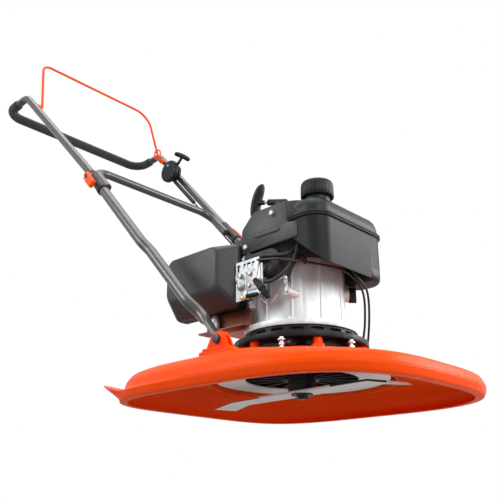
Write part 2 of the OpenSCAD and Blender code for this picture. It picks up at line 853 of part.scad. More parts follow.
module at_bracket_bolts() {
    for (y = [carb_front + bracket_hole * 2, carb_rear - bracket_hole])
        translate([bracket_x, y, carb_z]) rotate([0, -90, 0]) children();
}
module control_bracket() {
    color(zinc) difference() {
        translate([bracket_x - bracket_thick, (bracket_front + bracket_rear) / 2, (bracket_bottom + bracket_top) / 2])
            rotate([90, 0, 90]) linear_extrude(bracket_thick)
            round_rect(bracket_rear - bracket_front, bracket_top - bracket_bottom, bracket_hole);
        for (k = [1:hole_count])
            translate([bracket_x, lerp(bracket_front, bracket_rear, k / (hole_count + 1)), bracket_top - 2 * bracket_hole])
            rotate([0, 90, 0]) cylinder(d = bracket_hole, h = 2 * overrun, center = true);
        translate([bracket_x - overrun, throttle_y, governor_z]) rotate([0, 90, 0]) cylinder(d = governor_pin_d, h = 2 * overrun);
    }
}
module cover_bolts() {
    color(zinc) {
        at_bracket_bolts() translate([0, 0, bracket_thick]) cylinder(d = 2 * bracket_hole, h = bracket_hole, $fn = 6);
        at_bosses() rotate([0, -90, 0]) {
            cylinder(d = 2 * shroud_bolt_d, h = shroud_bolt_d, $fn = 6);
            translate([0, 0, clear - boss_d]) cylinder(d = shroud_bolt_d - clear, h = boss_d);
        }
    }
}

// Governor: arm on its shaft, link rod, spring round the rod, and the throttle arm that it moves
module swing_arm(y) {
    translate([governor_face - clear, y, governor_z]) rotate([0, -90, 0]) difference() {
        union() {
            cylinder(d = arm_width, h = arm_thick);
            translate([0, -arm_width / 2, 0]) cube([governor_reach, arm_width, arm_thick]);
            translate([governor_reach, 0, 0]) cylinder(d = arm_width, h = arm_thick);
        }
        translate([governor_reach, 0, -overrun]) cylinder(d = link_d + 2 * clear, h = 3 * overrun);
    }
}
module governor_arm() {
    color(zinc) {
        swing_arm(governor_y);
        translate([governor_face - clear, governor_y, governor_z]) rotate([0, 90, 0])
            cylinder(d = governor_pin_d - 2 * running, h = governor_pin);
    }
}
module throttle_arm() {
    color(zinc) {
        swing_arm(throttle_y);
        translate([bracket_x - bracket_thick - clear, throttle_y, governor_z]) rotate([0, 90, 0])
            cylinder(d = governor_pin_d - 2 * running, h = governor_face - bracket_x + bracket_thick);
    }
}
link_x = governor_face - clear - arm_thick - spring_d;
link_z = governor_z + governor_reach;
module governor_link() {
    color(zinc) bent_rod([[governor_face - clear, governor_y, link_z], [link_x, governor_y, link_z],
        [link_x, throttle_y, link_z], [governor_face - clear, throttle_y, link_z]], link_d, link_d, cable_sides);
}
module governor_spring() {
    span = throttle_y - governor_y;
    steps = spring_curls * curl_rings;
    length = span * spring_share;
    r = (spring_d - spring_wire) / 2;
    coil = [for (k = [0:steps]) let (a = 360 * k / curl_rings)
        [link_x + r * cos(a), governor_y + (span - length) / 2 + length * k / steps, link_z + r * sin(a)]];
    echo(spring_gap = length / spring_curls - spring_wire);
    color(zinc) loft(sweep_rings(coil, spring_wire, curl_sides));
}

// Fuel tank: round-cornered body with a seam flange, domed top, sloping underside and a flat foot on the left
module tank_plan(grow) {
    translate([0, (tank_front + tank_rear) / 2])
        round_rect(tank_width + 2 * grow, tank_rear - tank_front + 2 * grow, tank_corner + grow);
}
module tank_form(inset) {
    translate([0, 0, tank_bottom + inset]) linear_extrude(seam_height - tank_bottom) tank_plan(-inset);
    hull() {
        translate([0, 0, seam_height]) linear_extrude(seam_thick) tank_plan(-inset, $fn = hull_sides);
        translate([0, 0, tank_top - inset - seam_thick]) linear_extrude(seam_thick)
            tank_plan(-inset - dome_inset, $fn = hull_sides);
    }
}
module tank_cuts(margin) {
    translate([0, 0, tank_bottom - overrun]) cylinder(d = blower_d + 2 * clear + 2 * margin, h = tank_top, $fn = 120);
    translate([-tank_width, tank_front - margin, tank_bottom - margin]) rotate([atan(slope_share), 0, 0])
        translate([0, 0, -tank_width + 2 * margin])
        cube([tank_width + foot_start + margin, 2 * tank_width, tank_width]);
}
module fuel_tank() {
    color(black) difference() {
        union() {
            difference() {
                union() {
                    tank_form(0);
                    translate([0, 0, seam_height - seam_thick / 2]) linear_extrude(seam_thick) tank_plan(seam_flange);
                }
                tank_cuts(0);
            }
            translate([neck_x, neck_y, seam_height]) cylinder(d = neck_d, h = neck_top - seam_height);
            translate([-neck_x / 2, neck_y, tank_top - seam_thick]) cylinder(d = vent_d, h = 2 * seam_thick);
        }
        difference() {
            tank_form(tank_wall);
            tank_cuts(tank_wall);
        }
        translate([neck_x, neck_y, seam_height]) cylinder(d = neck_bore, h = neck_top - seam_height + overrun);
    }
}
module fuel_cap() {
    base = neck_top - cap_overlap;
    color(black) translate([neck_x, neck_y, 0]) difference() {
        union() {
            translate([0, 0, base]) cylinder(d = cap_skirt, h = cap_height);
            for (k = [0:cap_ribs - 1]) rotate(360 * k / cap_ribs) translate([cap_skirt / 2, 0, base])
                cylinder(d = tank_wall, h = cap_height, $fn = 16);
        }
        translate([0, 0, base - overrun]) cylinder(d = neck_d + 2 * clear, h = cap_overlap + clear + overrun);
    }
}

module at_bosses() {
    for (b = [[boss_front_y, boss_front_z], [boss_rear_y, boss_rear_z]]) translate([shroud_x, b[0], b[1]]) children();
}

// Blower housing with its cowl over the cylinder and the starter dome on top
module blower_housing() {
    color(grey) difference() {
        union() {
            translate([0, 0, blower_z]) cylinder(d = blower_d, h = blower_top - blower_z, $fn = 120);
            translate([-cowl_width / 2, 0, blower_z]) rotate([90, 0, 90]) linear_extrude(cowl_width)
                polygon([[0, 0], [cowl_rear, 0], [cowl_rear, cowl_top - blower_z],
                    [blower_d / 2, cowl_slope_top - blower_z], [0, cowl_slope_top - blower_z]]);
            translate([0, 0, blower_top]) cylinder(d = starter_d, h = starter_top - blower_top);
            at_bosses() translate([shroud_thick, 0, 0]) rotate([0, 90, 0]) cylinder(d = boss_d, h = blower_d / 2);
        }
        translate([0, 0, blower_z - overrun])
            cylinder(d = blower_d - 2 * blower_wall, h = blower_top - blower_z - blower_wall + overrun);
        translate([-cowl_width / 2 + blower_wall, 0, blower_z - overrun])
            rotate([90, 0, 90]) linear_extrude(cowl_width - 2 * blower_wall)
            polygon([[0, 0], [cowl_rear - blower_wall, 0], [cowl_rear - blower_wall, cowl_top - blower_z],
                [blower_d / 2, cowl_slope_top - blower_z], [0, cowl_slope_top - blower_z]]);
        translate([0, 0, blower_top - 2 * blower_wall])
            cylinder(d = starter_d - 2 * starter_wall, h = starter_top - blower_top + blower_wall);
        for (k = [0:starter_slots - 1]) rotate(360 * k / starter_slots)
            translate([pulley_d / 2, -starter_wall, starter_top - overrun])
            cube([starter_d / 2 - pulley_d / 2 - 3 * starter_wall, 2 * starter_wall, 2 * overrun]);
        at_bosses() rotate([0, 90, 0]) cylinder(d = shroud_bolt_d, h = boss_d);
    }
    color(grey) translate([0, 0, pulley_z + pulley_h + clear])
        cylinder(d = pulley_post, h = starter_top - pulley_z - pulley_h - clear - starter_wall / 2);
}
module starter_pulley() {
    color(black) translate([0, 0, pulley_z]) difference() {
        cylinder(d = pulley_d, h = pulley_h);
        translate([0, 0, pulley_h / 2]) rotate_extrude() translate([pulley_d / 2, 0]) circle(d = rope_d, $fn = 24);
    }
}
module side_shroud() {
    color(grey) difference() {
        union() {
            translate([shroud_x, 0, 0]) rotate([90, 0, 90]) linear_extrude(shroud_thick) polygon([
                [shroud_front, shroud_bottom], [shroud_rear, shroud_bottom], [shroud_rear, shroud_top - shroud_chamfer],
                [shroud_rear - shroud_chamfer, shroud_top], [shroud_front, shroud_top]]);
            translate([shroud_x - shroud_thick, shroud_front + boss_d, (shroud_bottom + shroud_top) / 2 - boss_d / 2])
                rotate([90, 0, 90]) linear_extrude(2 * shroud_thick) translate([(shroud_rear - shroud_front) / 3, 0])
                round_rect((shroud_rear - shroud_front) / 2, boss_d / 2, boss_d / 5);
        }
        at_bosses() translate([-overrun, 0, 0]) rotate([0, 90, 0]) cylinder(d = shroud_bolt_d, h = 2 * overrun);
    }
}
// Starter rope, its guide on the housing and its grip
module at_rope() {
    translate([rope_x, rope_y, rope_z]) rotate([rope_rise - 90, 0, 0]) children();
}
module rope_guide() {
    color(black) difference() {
        union() {
            at_rope() translate([0, 0, -guide_length / 2]) cylinder(d = guide_d, h = guide_length);
            translate([rope_x - guide_d / 2, rope_y - guide_d, starter_top]) cube([guide_d, guide_d, rope_z - starter_top]);
        }
        at_rope() translate([0, 0, -guide_length]) cylinder(d = rope_d + 2 * clear, h = 2 * guide_length);
        translate([-blower_d, -blower_d, starter_top - blower_d]) cube([2 * blower_d, 2 * blower_d, blower_d]);
    }
}
module starter_rope() {
    color("#d8d4cc") at_rope() translate([0, 0, -guide_length / 2]) cylinder(d = rope_d, h = guide_length + grip_gap);
}
module starter_grip() {
    color(black) at_rope() translate([0, 0, guide_length / 2 + grip_gap]) {
        cylinder(d1 = grip_stem_d * grip_stem_share, d2 = grip_stem_d, h = grip_stem);
        translate([0, 0, grip_stem]) hull() for (y = [-1, 1]) {
            translate([0, y * (grip_length - grip_thick) / 2, -grip_thick / 4])
                sphere(d = grip_thick * grip_end_share, $fn = hull_sides);
            translate([0, y * grip_length / 6, grip_thick / 4]) sphere(d = grip_thick, $fn = hull_sides);
        }
    }
}

module oil_cap() {
    color(black) rotate(oil_turn) translate([case_d / 2 + oil_boss + clear, 0, oil_z]) rotate([0, 90, 0]) {
        cylinder(d = oil_cap_d, h = oil_cap_h / 2);
        translate([-oil_cap_d / 2, -oil_cap_h / 6, oil_cap_h / 2]) cube([oil_cap_d, oil_cap_h / 3, oil_cap_h / 2]);
        translate([0, 0, -oil_boss]) cylinder(d = oil_boss_d / 2 - 2 * running, h = oil_boss);
    }
}

// Control cables from the left pivot round the front of the engine to the carburettor
cable_end = pivot_x - cable_inset;
cable_bracket = bracket_x - cable_stand;
throttle_route = [[cable_end - cable_pair, 18, 97], [188, 0, 92], [170, -24, 106], [148, -54, 134], [118, -86, 180],
    [80, -110, 235], [10, -122, 258], [-60, -112, 260], [-130, -64, 266], [cable_bracket, -26, 272],
    [cable_bracket, -4, 276]];
stop_route = [[cable_end + cable_pair, 18, 97], [196, -4, 90], [178, -34, 104], [152, -66, 134], [118, -98, 190],
    [70, -128, 230], [28, -136, 248], [14, -126, 268]];
module engine_cables() {
    color(black) {
        loft(sweep_rings(curve(throttle_route, 4), cable_d, cable_sides));
        loft(sweep_rings(curve(stop_route, 4), cable_d, cable_sides));
    }
}

// Rotor: crankshaft, flywheel, fan and blade
module crankshaft() {
    color(steel) translate([0, 0, shaft_low]) cylinder(d = shaft_d, h = pulley_z - pulley_h - shaft_low);
}
module flywheel() {
    color(zinc) difference() {
        translate([0, 0, flywheel_z]) {
            cylinder(d = flywheel_d, h = flywheel_h);
            for (k = [0:flywheel_fins - 1]) rotate(360 * k / flywheel_fins)
                translate([flywheel_d / 4, -vane_thick / 2, flywheel_h / 2])
                cube([flywheel_d / 5, vane_thick, flywheel_fin_h + flywheel_h / 2]);
        }
        translate([0, 0, flywheel_z - overrun]) cylinder(d = shaft_d, h = flywheel_h + 2 * overrun);
    }
}
module impeller() {
    vane_low = hub_bottom + ring_thick;
    color(black) difference() {
        union() {
            translate([0, 0, hub_bottom]) cylinder(d = hub_d, h = hub_top - hub_bottom);
            translate([0, 0, fan_plate_z]) cylinder(d = fan_d, h = fan_plate_thick);
            for (k = [0:vane_count - 1]) rotate(360 * k / vane_count)
                translate([hub_d / 3, -vane_thick / 2, vane_low])
                cube([fan_d / 2 - hub_d / 3 - vane_thick, vane_thick, fan_plate_z - vane_low]);
        }
        translate([0, 0, hub_bottom - overrun]) cylinder(d = shaft_d, h = hub_top);
    }
}
module impeller_ring() {
    color("#cfcdca") translate([0, 0, hub_bottom]) ring(fan_d, ring_inner_d, ring_thick);
}
module blade() {
    flat = blade_length / 2 - tip_length;
    color("#d0cdcd") difference() {
        rotate(blade_turn) union() {
            rotate([90, 0, 0]) translate([0, 0, -blade_width / 2]) linear_extrude(blade_width) polygon(concat(
                [for (s = [1, -1]) each s > 0 ? [[flat, blade_height], [blade_length / 2, blade_height - tip_drop],
                    [blade_length / 2, blade_height - tip_drop + blade_thick], [flat, blade_height + blade_thick]] :
                    [[-flat, blade_height + blade_thick], [-blade_length / 2, blade_height - tip_drop + blade_thick],
                    [-blade_length / 2, blade_height - tip_drop], [-flat, blade_height]]]));
            translate([0, 0, blade_height + blade_thick]) cylinder(d = spacer_d, h = hub_bottom - blade_height - blade_thick);
        }
        translate([0, 0, blade_height - overrun]) cylinder(d = blade_hole, h = 2 * overrun);
        translate([0, 0, blade_height + blade_thick]) cylinder(d = shaft_d, h = hub_bottom);
    }
}
module blade_bolt() {
    color(black) translate([0, 0, blade_height]) {
        translate([0, 0, -washer_h]) cylinder(d = washer_d, h = washer_h);
        translate([0, 0, -washer_h - blade_head_h]) cylinder(d = blade_head_d, h = blade_head_h, $fn = 6);
        cylinder(d = blade_hole - clear, h = blade_thick);
    }
}

// Lower tubes, flattened at the pivot and bored for the upper handle
lower_path = [[pivot_x, 0, tab_end], [pivot_x, 0, tab_end + lower_tube_d], [lower_leg_x, 0, bend_in],
    [lower_leg_x, 0, joggle_low], [leg_x, 0, joggle_high], [leg_x, 0, lower_end]];
module lower_tube() {
    color(tube_grey) handle_frame() {
        bent_tube(lower_path, tube_bend, lower_tube_d, lower_bore, lower_sides);
        translate([pivot_x, 0, 0]) rotate([90, 0, 90]) translate([0, 0, -tab_thick / 2]) linear_extrude(tab_thick)
            difference() {
                union() {
                    circle(lower_tube_d / 2);
                    translate([-lower_tube_d / 2, 0]) square([lower_tube_d, tab_end]);
                    translate([-lower_bore / 2 - tube_wall / 4, 0]) square([lower_bore + tube_wall / 2, tab_end + lower_tube_d]);
                }
                circle(pivot_bolt_d / 2 + running);
            }
    }
}
module lower_tube_left() { lower_tube(); }
module lower_tube_right() { mirror([1, 0, 0]) lower_tube(); }

module pivot_bolts() {
    half = ear_gap / 2 + ear_thick;
    color(black) both_sides() translate([pivot_x, pivot_y, pivot_z]) rotate([0, 90, 0]) {
        translate([0, 0, -half]) cylinder(d = pivot_bolt_d, h = 2 * half);
        for (z = [-half - bolt_head_h, half]) translate([0, 0, z]) cylinder(d = bolt_head_d, h = bolt_head_h);
    }
}

lever_x = leg_x + sleeve_d / 2 + lever_cam_d / 2 + clear;
module clamp_sleeves() {
    color(tube_grey) handle_frame() both_sides() difference() {
        union() {
            translate([leg_x, 0, sleeve_low]) cylinder(d = sleeve_d, h = sleeve_high - sleeve_low);
            translate([leg_x, 0, collar_low]) cylinder(d = collar_d, h = sleeve_low - collar_low);
            translate([leg_x, 0, lever_z]) rotate([90, 0, 0])
                translate([0, -lever_cam_d / 2, -lever_width / 4])
                cube([sleeve_d / 2 + lever_cam_d, lever_cam_d, lever_width / 2]);
        }
        translate([leg_x, 0, collar_low - overrun]) cylinder(d = lower_tube_d + 2 * running, h = sleeve_high);
        translate([lever_x, 0, lever_z]) rotate([90, 0, 0]) cylinder(d = brace_bolt_d, h = lever_width, center = true);
    }
}
module lock_lever() {
    slot = lever_width / 2 + 2 * clear;
    color(orange) handle_frame() translate([lever_x, 0, lever_z]) {
        difference() {
            rotate([90, 0, 0]) union() {
                translate([0, 0, -lever_width / 2]) cylinder(d = lever_cam_d, h = lever_width);
                translate([0, -lever_arm, -lever_width / 2]) cube([lever_thick, lever_arm, lever_width]);
            }
            rotate([90, 0, 0]) translate([-lever_cam_d, -lever_cam_d, -slot / 2])
                cube([2 * lever_cam_d, 2 * lever_cam_d, slot]);
        }
        rotate([90, 0, 0]) cylinder(d = brace_bolt_d - 2 * running, h = lever_width, center = true);
    }
}
module lock_lever_left() { lock_lever(); }
module lock_lever_right() { mirror([1, 0, 0]) lock_lever(); }

brace_x = leg_x - sleeve_d / 2 - upper_tube_d / 2 - clear;
brace_path = [[brace_x, 0, brace_low], [brace_x, 0, brace_height], [-brace_x, 0, brace_height],
    [-brace_x, 0, brace_low]];
module cross_brace() {
    color(tube_grey) handle_frame() bent_tube(brace_path, corner_bend, upper_tube_d, upper_tube_d - 2 * tube_wall);
}

// Upper handle: one bent tube from leg to leg
upper_right = [[leg_x, 0, insert_end], [leg_x, 0, splay_start], [top_x, top_lean, top_bend],
    [top_x, rear_lean, rear_bend]];
upper_path = concat(upper_right, [for (i = [3:-1:0]) flip(upper_right[i])]);
foam_start = lerp(upper_right[2], upper_right[3], foam_start_share);
module upper_handle() {
    color(tube_grey) handle_frame() bent_tube(upper_path, corner_bend, upper_tube_d, upper_tube_d - 2 * tube_wall);
}
module foam_grip() {
    color(foam_black) handle_frame() bent_tube([foam_start, upper_right[3], flip(upper_right[3]), flip(foam_start)],
        corner_bend, foam_d, upper_tube_d + 2 * clear);
}

// Throttle control: round housing split by the slot that the lever turns in
housing_out = leg_at(housing_z)[0] - upper_tube_d / 2 - housing_gap;
module at_housing() {
    handle_frame() translate([housing_out, 0, housing_z]) rotate([0, -90, 0]) children();
}
module control_housing() {
    color(black) at_housing() {
        cylinder(d = housing_d * housing_back_share, h = housing_back);
        cylinder(d = lever_pivot_d, h = housing_back + lever_slot + overrun);
        translate([0, 0, housing_back + lever_slot]) cylinder(d = housing_d, h = housing_w);
    }
}
module throttle_lever() {
    color(black) at_housing() translate([0, 0, housing_back + clear]) {
        ring(2 * lever_pivot_d, lever_pivot_d + 2 * running, lever_slot - 2 * clear);
        translate([-throttle_stem_d / 2, -throttle_reach, 0])
            cube([throttle_stem_d, throttle_reach - lever_pivot_d * 3 / 4, lever_slot - 2 * clear]);
        translate([0, -throttle_reach, (lever_slot - throttle_bar) / 2]) cylinder(d = throttle_bar_d, h = throttle_bar);
    }
}

// Ribbed conduit on the upper handle, with the cables of the lower handle sliding inside it
conduit_at = [leg_x, upper_tube_d / 2 + conduit_d / 2 + 2 * cable_d / 3, 0];
module cable_conduit() {
    rings = 2 * conduit_ribs;
    line = [for (k = [0:rings]) conduit_at + [0, 0, lerp(conduit_low, conduit_top, k / rings)]];
    sizes = [for (k = [0:rings]) conduit_d - (k % 2) * 2 * rib_depth];
    color(black) handle_frame() loft(concat(sweep_rings(line, sizes, conduit_sides),
        reversed(sweep_rings([line[0], line[rings]], conduit_bore, conduit_sides))), closed = true);
}

// Bail: bent wire in two pivot blocks on the inside of the legs
bail_foot = leg_at(bail_pivot);
bail_block_x = bail_foot[0] - upper_tube_d / 2 - 2 * clear;
module bail_pivots() {
    color(orange) handle_frame() both_sides() translate([bail_block_x, bail_foot[1], bail_pivot]) rotate([0, -90, 0])
        ring(bail_boss_d, bail_d + 2 * clear, bail_block);
}
module bail() {
    top_y = bail_foot[1] + bail_lean;
    top_z = bail_pivot + bail_height;
    right = [[bail_block_x - clear, bail_foot[1], bail_pivot],
        [bail_block_x - bail_block - bail_d, bail_foot[1], bail_pivot], [bail_half, top_y, top_z]];
    color(orange) handle_frame() bent_rod(concat(right, [for (i = [2:-1:0]) flip(right[i])]),
        [bail_d, bail_corner, bail_corner, bail_d], bail_d, cable_sides + 4);
}

// Cables held along the left leg, in the handle's own frame
cable_low = [[cable_end, 0, 3], [cable_end + cable_pair, 8, 40], [214, 16, 100], [228, 19, 160], [231, 20, 320],
    [leg_x, 20, 380], [leg_x, 20, 700], [leg_x, 20, 990]];
module handle_cables() {
    color(black) handle_frame() for (k = [-1, 1])
        loft(sweep_rings([for (p = curve(cable_low, 4)) p + [k * cable_d * cable_gap_share, 0, 0]], cable_d, cable_sides));
}

deck_shell();
handle_brackets();
fan_duct();
engine_plate();
engine_bolts();
crankcase();
main_bearings();
oil_seal();
cylinder_barrel();
cylinder_head();
valve_cover();
spark_plug();
plug_cap();
muffler();
muffler_guard();
heat_shield();
exhaust_pipe();
air_cleaner_base();
air_cleaner_cover();
filter_element();
carburettor();
float_bowl();
intake_hose();
control_bracket();
cover_bolts();
governor_arm();
governor_link();
governor_spring();
throttle_arm();
fuel_tank();
fuel_cap();
side_shroud();
blower_housing();
starter_pulley();
rope_guide();
starter_rope();
starter_grip();
oil_cap();
engine_cables();
crankshaft();
flywheel();
impeller();
impeller_ring();
blade();
blade_bolt();
lower_tube_right();
lower_tube_left();
pivot_bolts();
clamp_sleeves();
cross_brace();
handle_cables();
lock_lever_right();
lock_lever_left();
upper_handle();
foam_grip();
control_housing();
throttle_lever();
cable_conduit();
bail_pivots();
bail();
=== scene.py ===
import json
import math

import bmesh
import bpy
from mathutils import Matrix, Vector


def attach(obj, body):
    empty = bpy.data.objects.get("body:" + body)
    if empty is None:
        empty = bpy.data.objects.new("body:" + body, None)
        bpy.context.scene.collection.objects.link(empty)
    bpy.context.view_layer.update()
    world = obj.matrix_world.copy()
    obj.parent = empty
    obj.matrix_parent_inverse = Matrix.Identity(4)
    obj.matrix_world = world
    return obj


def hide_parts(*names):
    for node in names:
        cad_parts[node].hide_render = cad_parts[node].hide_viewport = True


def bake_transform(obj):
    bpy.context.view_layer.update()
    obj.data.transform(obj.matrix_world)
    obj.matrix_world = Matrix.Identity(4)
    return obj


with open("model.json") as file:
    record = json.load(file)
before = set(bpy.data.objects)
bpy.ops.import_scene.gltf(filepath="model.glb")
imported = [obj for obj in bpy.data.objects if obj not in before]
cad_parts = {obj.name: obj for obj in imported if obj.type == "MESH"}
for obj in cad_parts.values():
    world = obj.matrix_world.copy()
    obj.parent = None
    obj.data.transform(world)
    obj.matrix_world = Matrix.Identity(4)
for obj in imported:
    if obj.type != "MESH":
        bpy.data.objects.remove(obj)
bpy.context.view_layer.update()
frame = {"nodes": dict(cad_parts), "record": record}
NODES = frame["nodes"]
SLOT_OF = {row["node"]: row["material_slot"] for row in frame["record"]["subparts"]}
COLLECTION = bpy.context.scene.collection

# Studio: camera at the photograph's angle, white surroundings, pale floor below the hovering rim
CAMERA_AT = Vector((-1.1305, -0.9242, -0.2074))
CAMERA_LOOK = Vector((0.6792, 0.6449, 0.3504))
CAMERA_LENS = 50.09
FLOOR_Z = -0.26
FLOOR_R = 9.0
FLOOR_SIDES = 96
FLOOR_BOUNCE = "#9c9c9a"
WORLD_LEVEL = 0.34
# Lamp name: place, aim, width, power
LAMPS = {
    "key": ((2.2, -1.9, 1.4), (0.0, -0.1, 0.28), 2.0, 76.0),
    "front": ((-0.9, -2.7, 1.5), (0.0, 0.0, 0.2), 1.5, 46.0),
    "side": ((-2.3, 1.4, 1.5), (0.0, 0.2, 0.35), 1.4, 36.0),
}
# Even light from overhead, which also reaches the far floor
OVERHEAD_LEVEL = 1.9
OVERHEAD_SPREAD = 50.0


def make_camera():
    data = bpy.data.cameras.new("camera")
    data.lens = CAMERA_LENS
    camera = bpy.data.objects.new("camera", data)
    camera.location = CAMERA_AT
    camera.rotation_euler = CAMERA_LOOK.to_track_quat("-Z", "Y").to_euler()
    COLLECTION.objects.link(camera)
    bpy.context.scene.camera = camera


def make_lamps():
    for name, (place, aim, width, power) in LAMPS.items():
        data = bpy.data.lights.new(name, "AREA")
        data.shape = "DISK"
        data.size = width
        data.energy = power
        lamp = bpy.data.objects.new(name, data)
        lamp.location = place
        lamp.rotation_euler = (Vector(aim) - Vector(place)).to_track_quat("-Z", "Y").to_euler()
        COLLECTION.objects.link(lamp)
    data = bpy.data.lights.new("overhead", "SUN")
    data.energy = OVERHEAD_LEVEL
    data.angle = math.radians(OVERHEAD_SPREAD)
    COLLECTION.objects.link(bpy.data.objects.new("overhead", data))


def node(tree, kind, sockets=None, **settings):
    """Adds a shader node; a socket given as a value is set, one given as an output is linked."""
    made = tree.nodes.new("ShaderNode" + kind)
    for key, value in settings.items():
        setattr(made, key, value)
    for key, value in (sockets or {}).items():
        if isinstance(value, bpy.types.NodeSocket):
            tree.links.new(value, made.inputs[key])
        else:
            made.inputs[key].default_value = value
    return made


def make_world():
    world = bpy.data.worlds.new("studio")
    world.use_nodes = True
    tree = world.node_tree
    tree.nodes.clear()
    path = node(tree, "LightPath").outputs
    direct = node(tree, "Math", {0: path["Is Camera Ray"], 1: path["Is Transmission Ray"]},
                  operation="MAXIMUM")
    seen = node(tree, "Math", {0: direct.outputs[0], 1: path["Is Glossy Ray"]}, operation="MAXIMUM")
    plain = node(tree, "Background", {"Color": (1, 1, 1, 1), "Strength": WORLD_LEVEL})
    white = node(tree, "Background", {"Color": (1, 1, 1, 1), "Strength": 1.0})
    mixed = node(tree, "MixShader", {0: seen.outputs[0], 1: plain.outputs[0], 2: white.outputs[0]})
    node(tree, "OutputWorld", {"Surface": mixed.outputs[0]})
    bpy.context.scene.world = world


# Materials: each has mottled colour, uneven roughness, a fine grain and lighter worn edges
BROAD_SCALE = 14.0
MIDDLE_SCALE = 90.0
WORN_FROM = 0.52
WORN_TO = 0.64
WORN_LIGHT = 1.9
LEAST_ROUGH = 0.03
BUMP_REACH = 0.001
BRAID_TURN = 35.0
BRAID_PITCH = 260.0
BRAID_DEPTH = 0.6


def srgb(code, share=1.0):
    channels = [int(code[i:i + 2], 16) / 255 for i in (1, 3, 5)]
    linear = [c / 12.92 if c <= 0.04045 else ((c + 0.055) / 1.055) ** 2.4 for c in channels]
    return (*[min(1.0, c * share) for c in linear], 1.0)


def surface(name, code, rough, metal=0.0, grain=900.0, depth=0.08, mottle=0.12, spread=0.08, wear=0.25,
            stretch=(1.0, 1.0, 1.0), sheen=0.0, specular=0.5):
    material = bpy.data.materials.new(name)
    material.use_nodes = True
    tree = material.node_tree
    place = node(tree, "TexCoord").outputs["Object"]
    along = node(tree, "Mapping", {"Vector": place, "Scale": stretch}).outputs["Vector"]
    broad, middle, fine = [
        node(tree, "TexNoise", {"Vector": along, "Scale": scale, "Detail": detail}).outputs[0]
        for scale, detail in ((BROAD_SCALE, 4.0), (MIDDLE_SCALE, 3.0), (grain, 2.0))]
    edge = node(tree, "NewGeometry").outputs["Pointiness"]
    worn = node(tree, "MapRange",
                {"Value": edge, "From Min": WORN_FROM, "From Max": WORN_TO, "To Max": wear})
    tint = node(tree, "Mix", {0: broad, 6: srgb(code, 1 - mottle), 7: srgb(code, 1 + mottle)},
                data_type="RGBA")
    faded = node(tree, "Mix", {0: worn.outputs[0], 6: tint.outputs[2], 7: srgb(code, WORN_LIGHT)},
                 data_type="RGBA")
    roughness = node(tree, "MapRange",
                     {"Value": middle, "From Min": 0.3, "From Max": 0.7,
                      "To Min": max(LEAST_ROUGH, rough - spread), "To Max": rough + spread})
    bump = node(tree, "Bump", {"Height": fine, "Strength": depth, "Distance": BUMP_REACH})
    shader = tree.nodes["Principled BSDF"]
    tree.links.new(faded.outputs[2], shader.inputs["Base Color"])
    tree.links.new(roughness.outputs[0], shader.inputs["Roughness"])
    tree.links.new(bump.outputs[0], shader.inputs["Normal"])
    shader.inputs["Metallic"].default_value = metal
    shader.inputs["Sheen Weight"].default_value = sheen
    shader.inputs["Specular IOR Level"].default_value = specular
    return material


def braid(name, code):
    """A cord's braid: two crossed waves over the mottled surface."""
    material = surface(name, code, 0.8, grain=2500.0, depth=0.2, wear=0.0)
    tree = material.node_tree
    place = node(tree, "TexCoord").outputs["Object"]
    waves = []
    for turn in (BRAID_TURN, -BRAID_TURN):
        slanted = node(tree, "Mapping", {"Vector": place, "Rotation": (math.radians(turn), 0, 0)})
        waves.append(node(tree, "TexWave", {"Vector": slanted.outputs[0], "Scale": BRAID_PITCH},
                          bands_direction="Y").outputs[1])
    crossed = node(tree, "Math", {0: waves[0], 1: waves[1]}, operation="MAXIMUM")
    bump = node(tree, "Bump",
                {"Height": crossed.outputs[0], "Strength": BRAID_DEPTH, "Distance": BUMP_REACH})
    tree.links.new(bump.outputs[0], tree.nodes["Principled BSDF"].inputs["Normal"])
    return material


